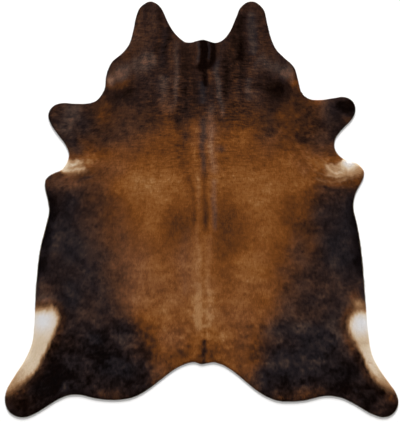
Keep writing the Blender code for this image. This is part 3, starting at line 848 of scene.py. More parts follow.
# %% [markdown]
# ## The pale patches
# The hair is cream and white in the leg pits, which on a flat hide lie beside the forelegs
# and along the outer edge of the hind legs. Such a patch could be a few pale dabs, but its
# border is long and crooked. So it is a closed outline with a soft border: white at its
# heart, cream towards the border, and brown just outside, where both kinds of hair mix.
# Single pale strands run out of the armpits.


# %% Pale patches
class Patch(NamedTuple):
    """An area of pale hair: the corners round it, each with how far the border fades there
    and how pale the hair behind it is; the whitest part, where it is and how large; and
    how strong the brown halo round it is."""

    place: str
    corners: tuple
    white_x: float
    white_y: float
    white_size: float
    halo: float


PATCHES = (
    Patch(
        "left hind leg",
        ((-0.930, -0.500, 0.050, 0.50), (-0.836, -0.512, 0.048, 0.56),
         (-0.778, -0.500, 0.046, 0.60), (-0.750, -0.518, 0.034, 0.66),
         (-0.736, -0.562, 0.026, 0.72), (-0.742, -0.598, 0.024, 0.70),
         (-0.758, -0.632, 0.022, 0.66), (-0.776, -0.681, 0.022, 0.64),
         (-0.801, -0.733, 0.020, 0.66), (-0.828, -0.784, 0.020, 0.68),
         (-0.852, -0.832, 0.020, 0.68), (-0.879, -0.862, 0.024, 0.64),
         (-0.909, -0.892, 0.030, 0.57), (-0.947, -0.925, 0.036, 0.51),
         (-0.994, -0.958, 0.042, 0.45), (-1.085, -0.985, 0.044, 0.38),
         (-1.085, -0.800, 0.030, 0.64), (-1.060, -0.600, 0.030, 0.66)),
        -0.825, -0.575, 0.068, 1.0,
    ),
    Patch(
        "right hind leg",
        ((0.923, -0.517, 0.052, 0.44), (0.850, -0.513, 0.050, 0.48),
         (0.803, -0.515, 0.046, 0.50), (0.783, -0.532, 0.040, 0.54),
         (0.767, -0.553, 0.038, 0.60), (0.758, -0.579, 0.036, 0.66),
         (0.756, -0.608, 0.036, 0.68), (0.762, -0.634, 0.034, 0.66),
         (0.773, -0.659, 0.032, 0.61), (0.786, -0.684, 0.030, 0.57),
         (0.801, -0.710, 0.028, 0.56), (0.816, -0.735, 0.020, 0.66),
         (0.830, -0.758, 0.020, 0.70), (0.840, -0.784, 0.020, 0.70),
         (0.852, -0.812, 0.020, 0.70), (0.868, -0.840, 0.022, 0.68),
         (0.884, -0.868, 0.026, 0.64), (0.910, -0.898, 0.034, 0.56),
         (0.948, -0.930, 0.042, 0.50), (1.010, -0.955, 0.046, 0.46),
         (1.090, -0.945, 0.046, 0.44), (1.060, -0.700, 0.030, 0.60)),
        0.830, -0.590, 0.066, 1.0,
    ),
    Patch(
        "left armpit",
        ((-0.780, 0.264, 0.014, 0.50), (-0.640, 0.264, 0.012, 0.43),
         (-0.613, 0.256, 0.012, 0.42), (-0.608, 0.232, 0.014, 0.40),
         (-0.590, 0.203, 0.020, 0.32), (-0.640, 0.182, 0.022, 0.42),
         (-0.690, 0.178, 0.022, 0.42), (-0.722, 0.186, 0.018, 0.46),
         (-0.760, 0.215, 0.014, 0.52)),
        -0.735, 0.235, 0.036, 0.1,
    ),
    Patch(
        "right armpit",
        ((0.643, 0.236, 0.012, 0.38), (0.695, 0.241, 0.014, 0.42),
         (0.736, 0.266, 0.014, 0.50), (0.798, 0.297, 0.020, 0.50),
         (0.880, 0.214, 0.024, 0.44), (0.830, 0.174, 0.030, 0.42),
         (0.775, 0.157, 0.030, 0.44), (0.705, 0.158, 0.028, 0.42),
         (0.654, 0.172, 0.022, 0.36), (0.636, 0.204, 0.014, 0.36)),
        0.764, 0.248, 0.041, 0.1,
    ),
)
print(f"{len(PATCHES)} pale patches:", ", ".join(patch.place for patch in PATCHES))


# %% Pale dabs and strands
class PaleDab(NamedTuple):
    """A soft oval of pale hair: its middle, its half width and half height, how pale its
    middle is, and how far it is turned anticlockwise in degrees."""

    place: str
    x: float
    y: float
    wide: float
    high: float
    pale: float
    turn: float = 0.0


PALE_DABS = (
    PaleDab("left armpit, low", -0.610, 0.193, 0.060, 0.022, 0.12, 8),
    PaleDab("right armpit, fan", 0.610, 0.245, 0.045, 0.030, 0.12, -30),
    PaleDab("right armpit, low", 0.640, 0.172, 0.060, 0.024, 0.13),
    PaleDab("right patch, top fringe", 0.810, -0.480, 0.036, 0.026, 0.42),
)


class PaleStroke(NamedTuple):
    """A soft strand of pale hair through two or more places, and how pale it is."""

    place: str
    points: tuple
    half_width: float
    pale: float


PALE_STROKES = (
    PaleStroke("left armpit, upper", ((-0.690, 0.214), (-0.630, 0.256), (-0.578, 0.276)), 0.008, 0.13),
    PaleStroke("left armpit, middle", ((-0.680, 0.225), (-0.603, 0.245), (-0.541, 0.256)), 0.007, 0.12),
    PaleStroke("left armpit, lower", ((-0.722, 0.199), (-0.655, 0.204), (-0.588, 0.219)), 0.008, 0.13),
    PaleStroke("right armpit, curl",
               ((0.612, 0.276), (0.638, 0.240), (0.659, 0.209),
                (0.700, 0.188), (0.742, 0.188)), 0.009, 0.14),
    PaleStroke("right armpit, inner curl",
               ((0.628, 0.287), (0.664, 0.240), (0.705, 0.209), (0.747, 0.204)), 0.008, 0.07),
    PaleStroke("right armpit, gold",
               ((0.576, 0.165), (0.612, 0.150), (0.674, 0.138),
                (0.726, 0.146), (0.767, 0.162)), 0.010, 0.25),
    PaleStroke("right armpit, middle",
               ((0.560, 0.204), (0.612, 0.183), (0.680, 0.168), (0.742, 0.168)), 0.006, 0.15),
    PaleStroke("right armpit, outer", ((0.586, 0.256), (0.607, 0.219), (0.648, 0.183)), 0.005, 0.14),
)
print(f"{len(PALE_DABS)} pale dabs and {len(PALE_STROKES)} strands")

# %% How pale each place is
HALO_AWAY = 0.020  # the halo is brownest this far outside a patch
HALO_HALF_WIDTH = 0.022
PALE_FROM_SPINE = 0.50  # pale hair grows farther than this from the spine
PALE_BELOW = 0.35  # and at heights below this


def patch_border(x, y, patch):
    """Metres inside the patch's border, below 0 outside it, and how far the nearest place
    of the border fades and how pale it is, each straight between the corner values."""
    corners = np.array(patch.corners)[:, :, None]
    start = corners[:, :2]
    side = np.roll(start, -1, axis=0) - start
    dx = x - start[:, 0]
    dy = y - start[:, 1]
    share = np.clip((dx * side[:, 0] + dy * side[:, 1]) / (side**2).sum(axis=1), 0, 1)
    away = np.hypot(dx - share * side[:, 0], dy - share * side[:, 1])
    nearest = away.argmin(axis=0)
    here = np.arange(len(x))
    spans = (start[:, 1] > y) != (start[:, 1] + side[:, 1] > y)
    rise = np.where(side[:, 1] == 0, 1, side[:, 1])
    crossing = start[:, 0] + dy / rise * side[:, 0]
    odd = (spans & (x < crossing)).sum(axis=0) % 2
    values = corners[nearest, 2:, 0]
    following = np.roll(corners, -1, axis=0)[nearest, 2:, 0]
    fade, pale = (values + (following - values) * share[nearest, here][:, None]).T
    return np.where(odd, 1, -1) * away[nearest, here], fade, pale


def pale_and_halo(x, y):
    """How pale each place is, and how much in the brown halo just outside a patch. The
    patches' pale is blended over their borders by t t (3 - 2 t), and that of the dabs and
    strands is added."""
    pale = np.zeros(x.shape)
    halo = np.zeros(x.shape)
    for patch in PATCHES:
        inward, fade, border_pale = patch_border(x, y, patch)
        away = np.hypot(x - patch.white_x, y - patch.white_y) / patch.white_size
        white = border_pale + (1 - border_pale) * np.exp(-(away**2))
        pale = np.maximum(pale, white * smooth_step(inward / fade, -1, 1))
        from_ring = (inward + HALO_AWAY) / HALO_HALF_WIDTH
        halo = np.maximum(halo, patch.halo * np.exp(-(from_ring**2)))
    for dab in PALE_DABS:
        pale += dab.pale * oval(x, y, dab)
    for strand in PALE_STROKES:
        pale += strand.pale * along_stroke(x, y, strand)
    return pale, halo


def wispy_pale(x, y):
    """The pale and the halo with wisps at the borders: each place is first moved by quick
    noise. They are 0 where no pale hair grows."""
    wisp_x = x + 0.0045 * noise(x, y, 0.009, 0.022, 18)
    wisp_y = y + 0.0060 * noise(x, y, 0.008, 0.020, 19)
    near = (np.abs(x) > PALE_FROM_SPINE) & (y < PALE_BELOW)
    pale = np.zeros(x.shape)
    halo = np.zeros(x.shape)
    pale[near], halo[near] = pale_and_halo(wisp_x[near], wisp_y[near])
    return pale, halo


sample_x = np.array([0.83, 0.90])
sample_y = np.array([-0.59, -0.30])
sample_pale, _ = wispy_pale(sample_x, sample_y)
print("how pale the right hind leg and the belly are:", np.round(sample_pale, 2).tolist())


# %% What chance adds
def shaken(x, y):
    """Each place moved a little by slow and by quick noise, so that the borders and dabs
    read there are broken up as hair breaks them."""
    shaken_x = x + 0.016 * noise(x, y, 0.090, 0.070, 11) + 0.006 * noise(x, y, 0.020, 0.012, 12)
    shaken_y = y + 0.016 * noise(x, y, 0.080, 0.090, 13) + 0.005 * noise(x, y, 0.012, 0.020, 14)
    return shaken_x, shaken_y


def on_neck(y):
    """1 on the neck and 0 below the shoulders."""
    return smooth_step(y, 0.46, 0.66)


def unevenness(x, y, shaken_x, on_back):
    """What chance adds to the tone.

    Mottles some 7 and 3 cm wide and strands 1 cm wide are strongest on the thighs and
    weakest on the back. The shoulders have a little more of both. On the neck the mottles
    are weaker, and streaks run down it, whose lighter parts are painted sheen. The
    ripples' light and shade are painted in as lighter and darker rows, with streaks of
    painted shade between the combed strands in them.
    """
    neck = on_neck(y)
    shoulder = np.exp(-(((y - 0.42) / 0.11) ** 2))
    loin = smooth_step(-y, 0.20, 0.35) * on_back
    thigh = smooth_step(-y, 0.52, 0.66)
    mottle = 1.2 * noise(x, y, 0.080, 0.065, 15) + 1.0 * noise(x, y, 0.030, 0.026, 16)
    strands = noise(x, y, 0.011, 0.013, 23) + 0.6 * noise(x, y, 0.015, 0.012, 24)
    uneven = (0.080 + 0.058 * thigh - 0.044 * on_back + 0.024 * loin) * mottle
    uneven += (0.070 + 0.034 * thigh - 0.040 * on_back + 0.014 * loin) * strands
    uneven += (0.020 * shoulder - 0.030 * neck) * mottle + 0.015 * shoulder * strands
    # painted light and shade of the ripples and of the combed strands in them
    combing = 0.010 + 0.100 * ripple_amount(x, y)
    uneven += combing * noise(x, y, 0.050, 0.0080, 20) + 0.145 * ripple(x, y)
    # streaks down the neck, whose lighter parts are painted sheen
    uneven += 0.085 * neck * noise(shaken_x, y, 0.024, 0.220, 25)
    return uneven


back_places = np.random.default_rng(0).uniform(-0.2, 0.0, (2, 1000))
back_tones = unevenness(*back_places, back_places[0], 1.0)
print(f"chance changes the tone of the back by {back_tones.std():.2f}, as a rule")

# %% The three numbers of a hair
# painted shade: right at the cut edge, where the coat rolls down, the hair is coloured darker
RIM_SHADE_WIDTH = 0.012  # the hair is a little darker this near the edge
RIM_SHADE_TONE = -0.07
HALO_TONE = 0.07
HALO_GREY = -0.60
# the neck's grey is painted sheen, drawn towards what its lightness calls for
NECK_PULL = 0.60  # how far the neck's grey is drawn towards what its tone calls for


def dabs_and_strokes(x, y, shaken_x, shaken_y):
    """What all the dabs and strokes add to the tone and to the grey. The strokes are
    shaken less, and noise along them breaks them up."""
    tone = np.zeros(x.shape)
    grey = np.zeros(x.shape)
    for dab in DABS:
        share = oval(shaken_x, shaken_y, dab)
        tone += dab.tone * share
        grey += dab.grey * share
    broken = 0.95 + 0.30 * noise(x, y, 0.020, 0.065, 22)
    for line in STROKES:
        share = along_stroke(x + 0.35 * (shaken_x - x), y, line) * broken
        tone += line.tone * share
        grey += line.grey * share
    return tone, grey


def coat_pattern(x, y):
    """The tone, grey and pale of the hair that grows at each place.

    The tone is the sum of the saddle, the dabs and strokes and the unevenness. The grey is
    painted sheen: on the flanks lighter hair is greyer, and so it is on the neck, where the
    grey is drawn towards 3 (tone - 0.2), since there it is the sheen that lightens the hair.
    The grey of the dabs and strokes comes on top of that. Right at the edge the hair is
    painted darker, as shade where the coat rolls down to the cut edge, and round a pale
    patch it is lighter and browner.
    """
    shaken_x, shaken_y = shaken(x, y)
    tone, grey, on_back = saddle(shaken_x, shaken_y)
    added_tone, added_grey = dabs_and_strokes(x, y, shaken_x, shaken_y)
    uneven = unevenness(x, y, shaken_x, on_back)
    tone += added_tone + uneven
    neck = on_neck(y)
    grey += 1.2 * (1 - on_back) * uneven
    grey += (0.22 - 0.16 * on_back) * (0.1 + noise(x, y, 0.090, 0.075, 17))
    grey += (3.0 * (tone - 0.20) - grey) * NECK_PULL * neck
    grey += added_grey + 0.20 * neck * noise(shaken_x, y, 0.030, 0.180, 26)
    # painted shade along the cut edge
    tone += RIM_SHADE_TONE * (1 - smooth_step(read(depth, x, y), 0, RIM_SHADE_WIDTH))
    pale, halo = wispy_pale(x, y)
    tone += HALO_TONE * halo
    grey += HALO_GREY * halo
    return np.clip(tone, 0, 1), np.clip(grey, 0, 1.15), np.clip(pale, 0, 1)


sample = coat_pattern(np.array([0.0, 0.7]), np.array([-0.3, -0.2]))
print("tone, grey and pale on the loin and on the right flank:", np.round(sample, 2).tolist())

# %% [markdown]
# ## From arrays to a mesh
# Every piece below is worked out as two arrays: the places of its corners and the three
# corner numbers of each triangle. One function puts them into Blender. It also lays a UV
# map over the piece, seen from straight above. That suits a thing that lies flat.

# %% Arrays into Blender
UV_NAME = "OFBake"


def add_piece(name, places, faces, smooth):
    """A mesh object at the origin. Its UV map is x and y over the longer side of its box."""
    mesh = bpy.data.meshes.new(name)
    mesh.vertices.add(len(places))
    mesh.vertices.foreach_set("co", places.astype(np.float32).ravel())
    mesh.loops.add(faces.size)
    mesh.loops.foreach_set("vertex_index", faces.astype(np.int32).ravel())
    mesh.polygons.add(len(faces))
    mesh.polygons.foreach_set("loop_start", np.arange(0, faces.size, 3, dtype=np.int32))
    mesh.polygons.foreach_set("use_smooth", np.full(len(faces), smooth))
    low = places[:, :2].min(axis=0)
    span = (places[:, :2].max(axis=0) - low).max()
    across = (places[faces.ravel(), :2] - low) / span
    mesh.uv_layers.new(name=UV_NAME).data.foreach_set("uv", across.astype(np.float32).ravel())
    mesh.update(calc_edges=True)
    piece = bpy.data.objects.new(name, mesh)
    bpy.context.scene.collection.objects.link(piece)
    print(f"{name}: {len(places)} corners, {len(faces)} triangles")
    return piece


def give_values(piece, **values):
    """Keeps one number for each corner of the piece under each name, for its material."""
    for name, numbers in values.items():
        kept = piece.data.attributes.new(name, "FLOAT", "POINT")
        kept.data.foreach_set("value", numbers.astype(np.float32))


print("every piece gets a UV map called", UV_NAME)

# %% [markdown]
# ## The leather
# Under the hair is the skin itself, tanned and about 2.4 mm thick, with a pale suede side
# that lies on the floor. It could be a Solidify modifier on a flat sheet, but its edge was
# cut with a knife and then worn a little round, so its edge is a profile carried along the
# outline. Its two faces are filled with points strewn evenly and joined into triangles,
# none of which has another point in the circle through its corners: so none is a sliver.

# %% The leather sheet
LEATHER = 0.0024
WIDE_PITCH = 0.040  # between the points of a face that is flat
EDGE_PROFILE = (  # metres inside the hide's edge, and height
    (0.0030, 0.0000),
    (0.0016, 0.0002),
    (0.0012, 0.0010),
    (0.0014, 0.0019),
    (0.0024, LEATHER),
)


def moved_inward(loop, distance):
    """The loop's points moved towards its inside, which lies on its left, square to the
    line between their neighbours."""
    before = np.roll(loop, 1, axis=0)
    after = np.roll(loop, -1, axis=0)
    along = after - before
    along /= np.linalg.norm(along, axis=1)[:, None]
    return loop + distance * np.stack([-along[:, 1], along[:, 0]], axis=1)


def bands(rings, count):
    """Two triangles for each step between neighbouring rings of count points each."""
    here = np.arange(count)
    beyond = np.roll(here, -1)
    faces = []
    for ring in range(rings - 1):
        low = ring * count
        high = low + count
        faces.append(np.stack([low + here, low + beyond, high + beyond], axis=1))
        faces.append(np.stack([low + here, high + beyond, high + here], axis=1))
    return np.concatenate(faces)


def grid_points(pitch):
    """The corners of equal triangles over the whole hide: every other row is half a step
    on, and the rows lie a step times half the root of 3 apart."""
    columns = np.arange(chart_x[0], chart_x[-1], pitch)
    rows = np.arange(chart_y[0], chart_y[-1], pitch * math.sqrt(3) / 2)
    x, y = np.meshgrid(columns, rows)
    x[1::2] += pitch / 2
    return np.stack([x.ravel(), y.ravel()], axis=1)


INSIDE_ONLY = 1  # asks for no triangles outside the loop
LOOP_ROOM = 0.45  # the share of the pitch that the grid keeps clear of the loop


def filled(loop, inside, pitch):
    """The loop's own points and a grid's points inside it, and the triangles between
    them. The loop lies this far inside the hide's edge."""
    grid = grid_points(pitch)
    places = np.concatenate([loop, grid[read(depth, *grid.T) > inside + LOOP_ROOM * pitch]])
    here = np.arange(len(loop))
    sides = np.stack([here, np.roll(here, -1)], axis=1)
    made = delaunay_2d_cdt(places.tolist(), sides.tolist(), [], INSIDE_ONLY, 1e-9)
    return places, np.array(made[2])


def leather_mesh():
    """The edge profile's rings along the outline, closed above and below."""
    rings = [moved_inward(outline, inside) for inside, _ in EDGE_PROFILE]
    count = len(outline)
    flat, inner = filled(rings[0], EDGE_PROFILE[0][0], WIDE_PITCH)
    extra = flat[count:]
    last_ring = (len(rings) - 1) * count
    number_below = np.arange(len(flat))
    number_below[count:] += last_ring
    number_above = np.arange(len(flat)) + last_ring
    number_above[count:] += len(extra)
    flat_all = np.concatenate([*rings, extra, extra])
    height = np.repeat([height for _, height in EDGE_PROFILE], count)
    height = np.concatenate([height, np.zeros(len(extra)), np.full(len(extra), LEATHER)])
    faces = [bands(len(rings), count), number_below[inner][:, ::-1], number_above[inner]]
    return np.column_stack([flat_all, height]), np.concatenate(faces)


leather_places, leather_faces = leather_mesh()
leather = add_piece("leather", leather_places, leather_faces, smooth=False)

# %% [markdown]
# ## The coat
# A cow's coat is short, dense hair that lies flat, so from a step away it reads as a skin
# of its own with ripples and tufts. A displacement in the material could make those, but
# it would be lost in the mesh. Here the coat is a closed skin over the leather, fine
# enough for the ripples, whose rim laps over the leather's cut edge.

# %% The coat's skin
COAT_PITCH = 0.0065
COAT_RINGS = (0.0028, 0.0006, 0.0000, 0.0004, 0.0024, 0.0060)  # metres inside the edge
COAT_UNDERSIDE = LEATHER + 0.0001
COAT_LIP = (COAT_UNDERSIDE, 0.0017, 0.0020)  # heights of the first three rings


def coat_mesh():
    """Rings round the lip of the rim, then the top on a fine grid of triangles and the
    underside on a coarse one."""
    rings = [moved_inward(outline, inside) for inside in COAT_RINGS]
    count = len(outline)
    top, top_faces = filled(rings[-1], COAT_RINGS[-1], COAT_PITCH)
    under, under_faces = filled(rings[0], COAT_RINGS[0], WIDE_PITCH)
    flat = np.concatenate([*rings, top[count:], under[count:]])
    height = surface(*flat.T)
    lip = len(COAT_LIP) * count
    height[:lip] = np.repeat(COAT_LIP, count)
    height[len(flat) - len(under) + count :] = COAT_UNDERSIDE
    last_ring = (len(rings) - 1) * count
    under_number = np.arange(len(under))
    under_number[count:] += last_ring + len(top) - count
    sides = bands(len(rings), count)
    faces = [sides, top_faces + last_ring, under_number[under_faces][:, ::-1]]
    return np.column_stack([flat, height]), np.concatenate(faces)


coat_places, coat_faces = coat_mesh()
coat = add_piece("coat", coat_places, coat_faces, smooth=True)
coat_x, coat_y = coat_places[:, :2].T
coat_tone, coat_grey, coat_pale = coat_pattern(coat_x, coat_y)
give_values(
    coat,
    tone=coat_tone,
    grey=coat_grey,
    pale=coat_pale,
    combed=ripple_amount(coat_x, coat_y),
    fibre=0.5 + 0.5 * noise(coat_x, coat_y, 0.008, 0.014, 21),
    # painted shade: the coat is coloured as a lock is near its root, as the locks over it shade it
    along=np.full(len(coat_places), 0.2),
)

# %% [markdown]
# ## The locks
# Short hair clings together in small flat locks, each over the roots of the next, like
# shingles. A hair system would grow single hairs, but no mesh could hold some hundred
# million of them. So the coat carries locks of a few hairs' breadth: four corners and four
# triangles each, all of them in a few arrays. Where the coat is rippled, the locks are
# combed into rows: each slides along its own lay until its tip is near a ripple's crest.

# %% Where the locks grow
LOCK_PITCH = 0.00415
LOCK_LENGTH = 0.0150
LOCK_WIDTH = 0.0024
ROOT_DEPTH = 0.0010  # the least depth inside the edge at which a lock grows
OVERHANG = 0.0030
BELLY_FRINGE = 0.0060
LEAST_SHARE = 0.12  # no lock is cut back to less than this share of its length
COMBING = 0.80  # the share of the way to a crest that combing takes a tip


def lock_roots():
    """The points of a grid of equal triangles, each shaken by up to half a step."""
    points = grid_points(LOCK_PITCH)
    points = points + chance.uniform(-0.5, 0.5, points.shape) * LOCK_PITCH
    return points[read(depth, *points.T) > ROOT_DEPTH]


def lock_directions(root):
    """The lay of the hair at each root, turned by a slow sway and a little by chance. The
    sway is calmer over the pale hair of the hind legs, where it would look like creases."""
    x, y = root.T
    base = np.arctan2(read(lay[1], x, y, COARSE_STEP), read(lay[0], x, y, COARSE_STEP))
    sway = 0.30 * noise(x, y, 0.060, 0.080, 31) + 0.22 * noise(x, y, 0.016, 0.022, 32)
    on_leg = smooth_step(np.abs(x), 0.72, 0.80) * smooth_step(-y, 0.46, 0.56)
    sway *= 1 - 0.7 * on_leg
    angle = base + sway + chance.normal(0, 0.13, len(root))
    return np.stack([np.cos(angle), np.sin(angle)], axis=1)


def overhang(x, y):
    """How far hair may reach past the edge: a few millimetres, more at the left belly and
    most at the right one."""
    belly = np.exp(-(((y + 0.35) / 0.17) ** 2)) * np.where(x > 0, 1.0, 0.6)
    return OVERHANG + BELLY_FRINGE * belly * smooth_step(np.abs(x), 0.74, 0.80)


def lock_lengths(root, toward):
    """Chance lengths. Each lock may reach past the hide's edge by a chance share of the
    overhang. One that would reach farther is cut back by the share that the depth, taken
    to fall evenly from its root to its tip, allows."""
    length = LOCK_LENGTH * chance.uniform(0.7, 1.35, len(root))
    start = read(depth, *root.T)
    end = read(depth, *(root + toward * length[:, None]).T)
    allowed = overhang(*root.T) * chance.uniform(0.1, 1.0, len(root))
    share = (start + allowed) / np.maximum(start - end, 1e-9)
    return length * np.where(end < -allowed, np.clip(share, LEAST_SHARE, 1), 1)


def combed(root, toward):
    """The roots slid so that the tips of locks of the usual length gather in rows: each by
    a share of the distance between its tip and the nearest crest, times the ripples'
    strength. Near the edge they stay."""
    tip = root + toward * LOCK_LENGTH
    from_crest = (ripple_phase(*tip.T) + 0.25) % 1 - 0.5
    slide = COMBING * ripple_amount(*tip.T) * from_crest * RIPPLE_STEP
    slide *= smooth_step(read(depth, *tip.T), 0.004, 0.016)
    return root + toward * slide[:, None]


roots = lock_roots()
directions = lock_directions(roots)
roots = combed(roots, directions)
roots = roots[read(depth, *roots.T) > ROOT_DEPTH]
directions = lock_directions(roots)
lengths = lock_lengths(roots, directions)
print(f"{len(roots)} locks, {lengths.min() * 1000:.0f} to {lengths.max() * 1000:.0f} mm long")

# %% The locks as meshes
LOCK_FACES = np.array([(0, 1, 2), (0, 2, 3), (1, 3, 2), (0, 3, 1)])
LOCK_ALONG = (0.0, 0.0, 0.35, 1.0)  # each corner's place along the lock
LOCK_LIFT = (-0.0004, -0.0004, 0.00035, 0.00055)  # its usual height above the coat
DROOP = 0.45  # how far a tip sinks for each metre that it is past the edge
LOWEST_HAIR = 0.0004  # above the floor
SHOWN_AT = 0.6  # what shows of a lock is about this far along it


def lock_mesh(root, toward, length):
    """Two corners across the root, a crest a third along and a tip: a flat roof with its
    ridge along the lock. The root is sunk in the coat, the crest and the tip stand on it,
    and a tip past the edge droops."""
    across = np.stack([-toward[:, 1], toward[:, 0]], axis=1)
    wide = LOCK_WIDTH * chance.uniform(0.7, 1.3, len(root))[:, None]
    crest = root + toward * length[:, None] * LOCK_ALONG[2]
    tip = root + toward * length[:, None]
    flat = np.stack([root + across * wide / 2, root - across * wide / 2, crest, tip], axis=1)
    height = surface(*flat.reshape(-1, 2).T).reshape(-1, 4)
    height += chance.uniform(0.6, 1.4, (len(root), 1)) * np.array(LOCK_LIFT)
    height[:, 3] -= DROOP * np.clip(-read(depth, *tip.T), 0, None)
    height = np.maximum(height, LOWEST_HAIR)
    return np.dstack([flat, height[:, :, None]])


def add_locks(name, chosen):
    """One piece of the chosen locks, each with the colour of the place it lies over."""
    places = lock_mesh(roots[chosen], directions[chosen], lengths[chosen]).reshape(-1, 3)
    count = len(places) // 4
    faces = (LOCK_FACES + 4 * np.arange(count)[:, None, None]).reshape(-1, 3)
    piece = add_piece(name, places, faces, smooth=False)
    middle = roots[chosen] + SHOWN_AT * lengths[chosen, None] * directions[chosen]
    tone, grey, pale = coat_pattern(*middle.T)
    give_values(
        piece,
        tone=np.repeat(tone, 4),
        grey=np.repeat(grey, 4),
        pale=np.repeat(pale, 4),
        combed=np.repeat(ripple_amount(*middle.T), 4),
        fibre=np.repeat(chance.uniform(0, 1, count), 4),
        along=np.tile(LOCK_ALONG, count),
    )
    return piece


fore = roots[:, 1] > np.median(roots[:, 1])
quarters = {}
for end_name, at_end in (("fore", fore), ("hind", ~fore)):
    left = roots[:, 0] < np.median(roots[at_end, 0])
    quarters[f"hair_{end_name}_left"] = at_end & left
    quarters[f"hair_{end_name}_right"] = at_end & ~left
locks = [add_locks(name, chosen) for name, chosen in quarters.items()]

# %% [markdown]
# ## Shader maths
# A material is a graph of nodes. To read like a formula, a number in it is wrapped in a
# small class: adding or multiplying two of them adds the Math node that does it. Every
# other node comes from one method, which sets the node up and then fills its sockets.

# %% Colours
SHOWN_LIGHT = 1.15  # how bright the lamps here show a flat white thing


def linear(red, green, blue):
    """The surface colour that the lamps here show as this screen colour, 0 to 255."""
    shown = np.array([red, green, blue]) / 255
    light = np.where(shown <= 0.04045, shown / 12.92, ((shown + 0.055) / 1.055) ** 2.4)
    surface_colour = np.clip(light / SHOWN_LIGHT, 0.0005, 1.0)
    return (*surface_colour.tolist(), 1.0)


print(f"a mid grey on the screen gives back {linear(128, 128, 128)[0]:.0%} of the light")


# %% Numbers that change over a surface
class Number:
    """A number that changes over a surface: a socket, and the finish that it is part of."""

    def __init__(self, finish, socket):
        self.finish = finish
        self.socket = socket

    def math(self, operation, first, second):
        """Adds the Math node that does this operation with the two."""
        inputs = {0: first, 1: second}
        return self.finish.node("ShaderNodeMath", {"operation": operation}, inputs)

    def __add__(self, other):
        return self.math("ADD", self, other)

    def __sub__(self, other):
        return self.math("SUBTRACT", self, other)

    def __rsub__(self, other):
        return self.math("SUBTRACT", other, self)

    def __mul__(self, other):
        return self.math("MULTIPLY", self, other)

    __radd__ = __add__
    __rmul__ = __mul__


# %% A material in the making
MIX_FACTOR, MIX_A, MIX_B, MIX_RESULT = 0, 6, 7, 2  # the colour sockets of a Mix node


class Finish:
    """A material in the making."""

    def __init__(self, name, constants):
        self.material = bpy.data.materials.new(name)
        self.material.use_nodes = True
        self.tree = self.material.node_tree
        self.shader = self.tree.nodes["Principled BSDF"]
        self.place = self.node("ShaderNodeTexCoord", output="Object")
        for socket, value in constants.items():
            self.shader.inputs[socket].default_value = value

    def node(self, kind, settings=None, inputs=None, output=0):
        """Adds a node: first its settings, then the values or links of its sockets."""
        made = self.tree.nodes.new(kind)
        for name, value in (settings or {}).items():
            if name == "stops":
                self.set_stops(made.color_ramp.elements, value)
            else:
                setattr(made, name, value)
        for name, value in (inputs or {}).items():
            self.put(value, made.inputs[name])
        return Number(self, made.outputs[output])

    def put(self, value, socket):
        """Links a changing number to the socket, or sets the socket to a constant."""
        if isinstance(value, Number):
            self.tree.links.new(value.socket, socket)
        else:
            socket.default_value = value

    def set_stops(self, elements, stops):
        """The ramp's stops: a share from 0 to 1, and a colour as a screen shows it."""
        while len(elements) < len(stops):
            elements.new(1.0)
        for element, (share, colour) in zip(elements, stops):
            element.position = share
            element.color = linear(*colour)

    def kept(self, name):
        """A number that the piece's corners keep under this name."""
        return self.node("ShaderNodeAttribute", {"attribute_name": name}, output="Fac")

    def ramp(self, number, stops):
        """The colour between the two stops on either side of the number."""
        return self.node("ShaderNodeValToRGB", {"stops": stops}, {0: number})

    def noise(self, scale, detail=2.0, stretch=(1, 1, 1)):
        """Blender's noise, about 0 to 1, with this many cells a metre. The stretch says how
        many times as many lie along x, y and z."""
        sized = tuple(scale * share for share in stretch)
        place = self.node("ShaderNodeMapping", inputs={"Vector": self.place, "Scale": sized})
        inputs = {"Vector": place, "Scale": 1.0, "Detail": detail}
        return self.node("ShaderNodeTexNoise", inputs=inputs)

    def blend(self, kind, factor, first, second):
        """Two colours blended in the way that the Mix node calls this kind."""
        settings = {"data_type": "RGBA", "blend_type": kind}
        inputs = {MIX_FACTOR: factor, MIX_A: first, MIX_B: second}
        return self.node("ShaderNodeMix", settings, inputs, MIX_RESULT)

    def bump(self, height, strength, distance):
        """A normal tilted as if the surface rose by the height times the distance."""
        inputs = {"Height": height, "Strength": strength, "Distance": distance}
        return self.node("ShaderNodeBump", inputs=inputs, output="Normal")

    def use(self, **links):
        """Feeds the shader's sockets: a name's underscore stands for a space."""
        for name, value in links.items():
            self.put(value, self.shader.inputs[name.replace("_", " ")])


# %% [markdown]
# ## The hair's finish
# Short hair that lies in every direction scatters light widely, so the shader has no
# mirror-like gloss at all: under a low lamp it would turn the whole coat white when seen
# from the far side. The lights come from colour instead. The tone goes through a ramp of
# browns. Grey, the painted sheen, takes the warmth out, and pale puts cream and white in
# its place. Single locks are lighter or darker than their neighbours, and each is painted
# darker at its root, where the lock above shades it, and lighter at its tip.

# %% The hair's material
BROWNS = (
    (0.00, (13, 5, 3)),
    (0.15, (31, 19, 14)),
    (0.30, (48, 31, 25)),
    (0.45, (78, 47, 28)),
    (0.60, (105, 60, 28)),
    (0.75, (130, 76, 33)),
    (0.90, (152, 98, 50)),
    (1.00, (172, 126, 80)),
)
SHEEN_GREYS = (
    (0.00, (12, 9, 10)),
    (0.30, (38, 33, 36)),
    (0.45, (58, 47, 44)),
    (0.60, (85, 67, 58)),
    (0.75, (118, 83, 66)),
    (1.00, (165, 128, 104)),
)
CREAMS = (
    (0.00, (92, 62, 40)),
    (0.35, (156, 112, 74)),
    (0.50, (194, 155, 116)),
    (0.66, (234, 212, 182)),
    (0.85, (242, 232, 222)),
    (1.00, (246, 246, 248)),
)
CREAM_REACH = ((0.10, (0, 0, 0)), (0.42, (255, 255, 255)))  # how far cream covers brown
# painted shade and light along each lock: darker at the root under the lock above, lighter at the tip
ROOT_SHADE = 0.72  # what a lock's colour is multiplied by at its root
TIP_SHADE = 1.15  # and at its tip


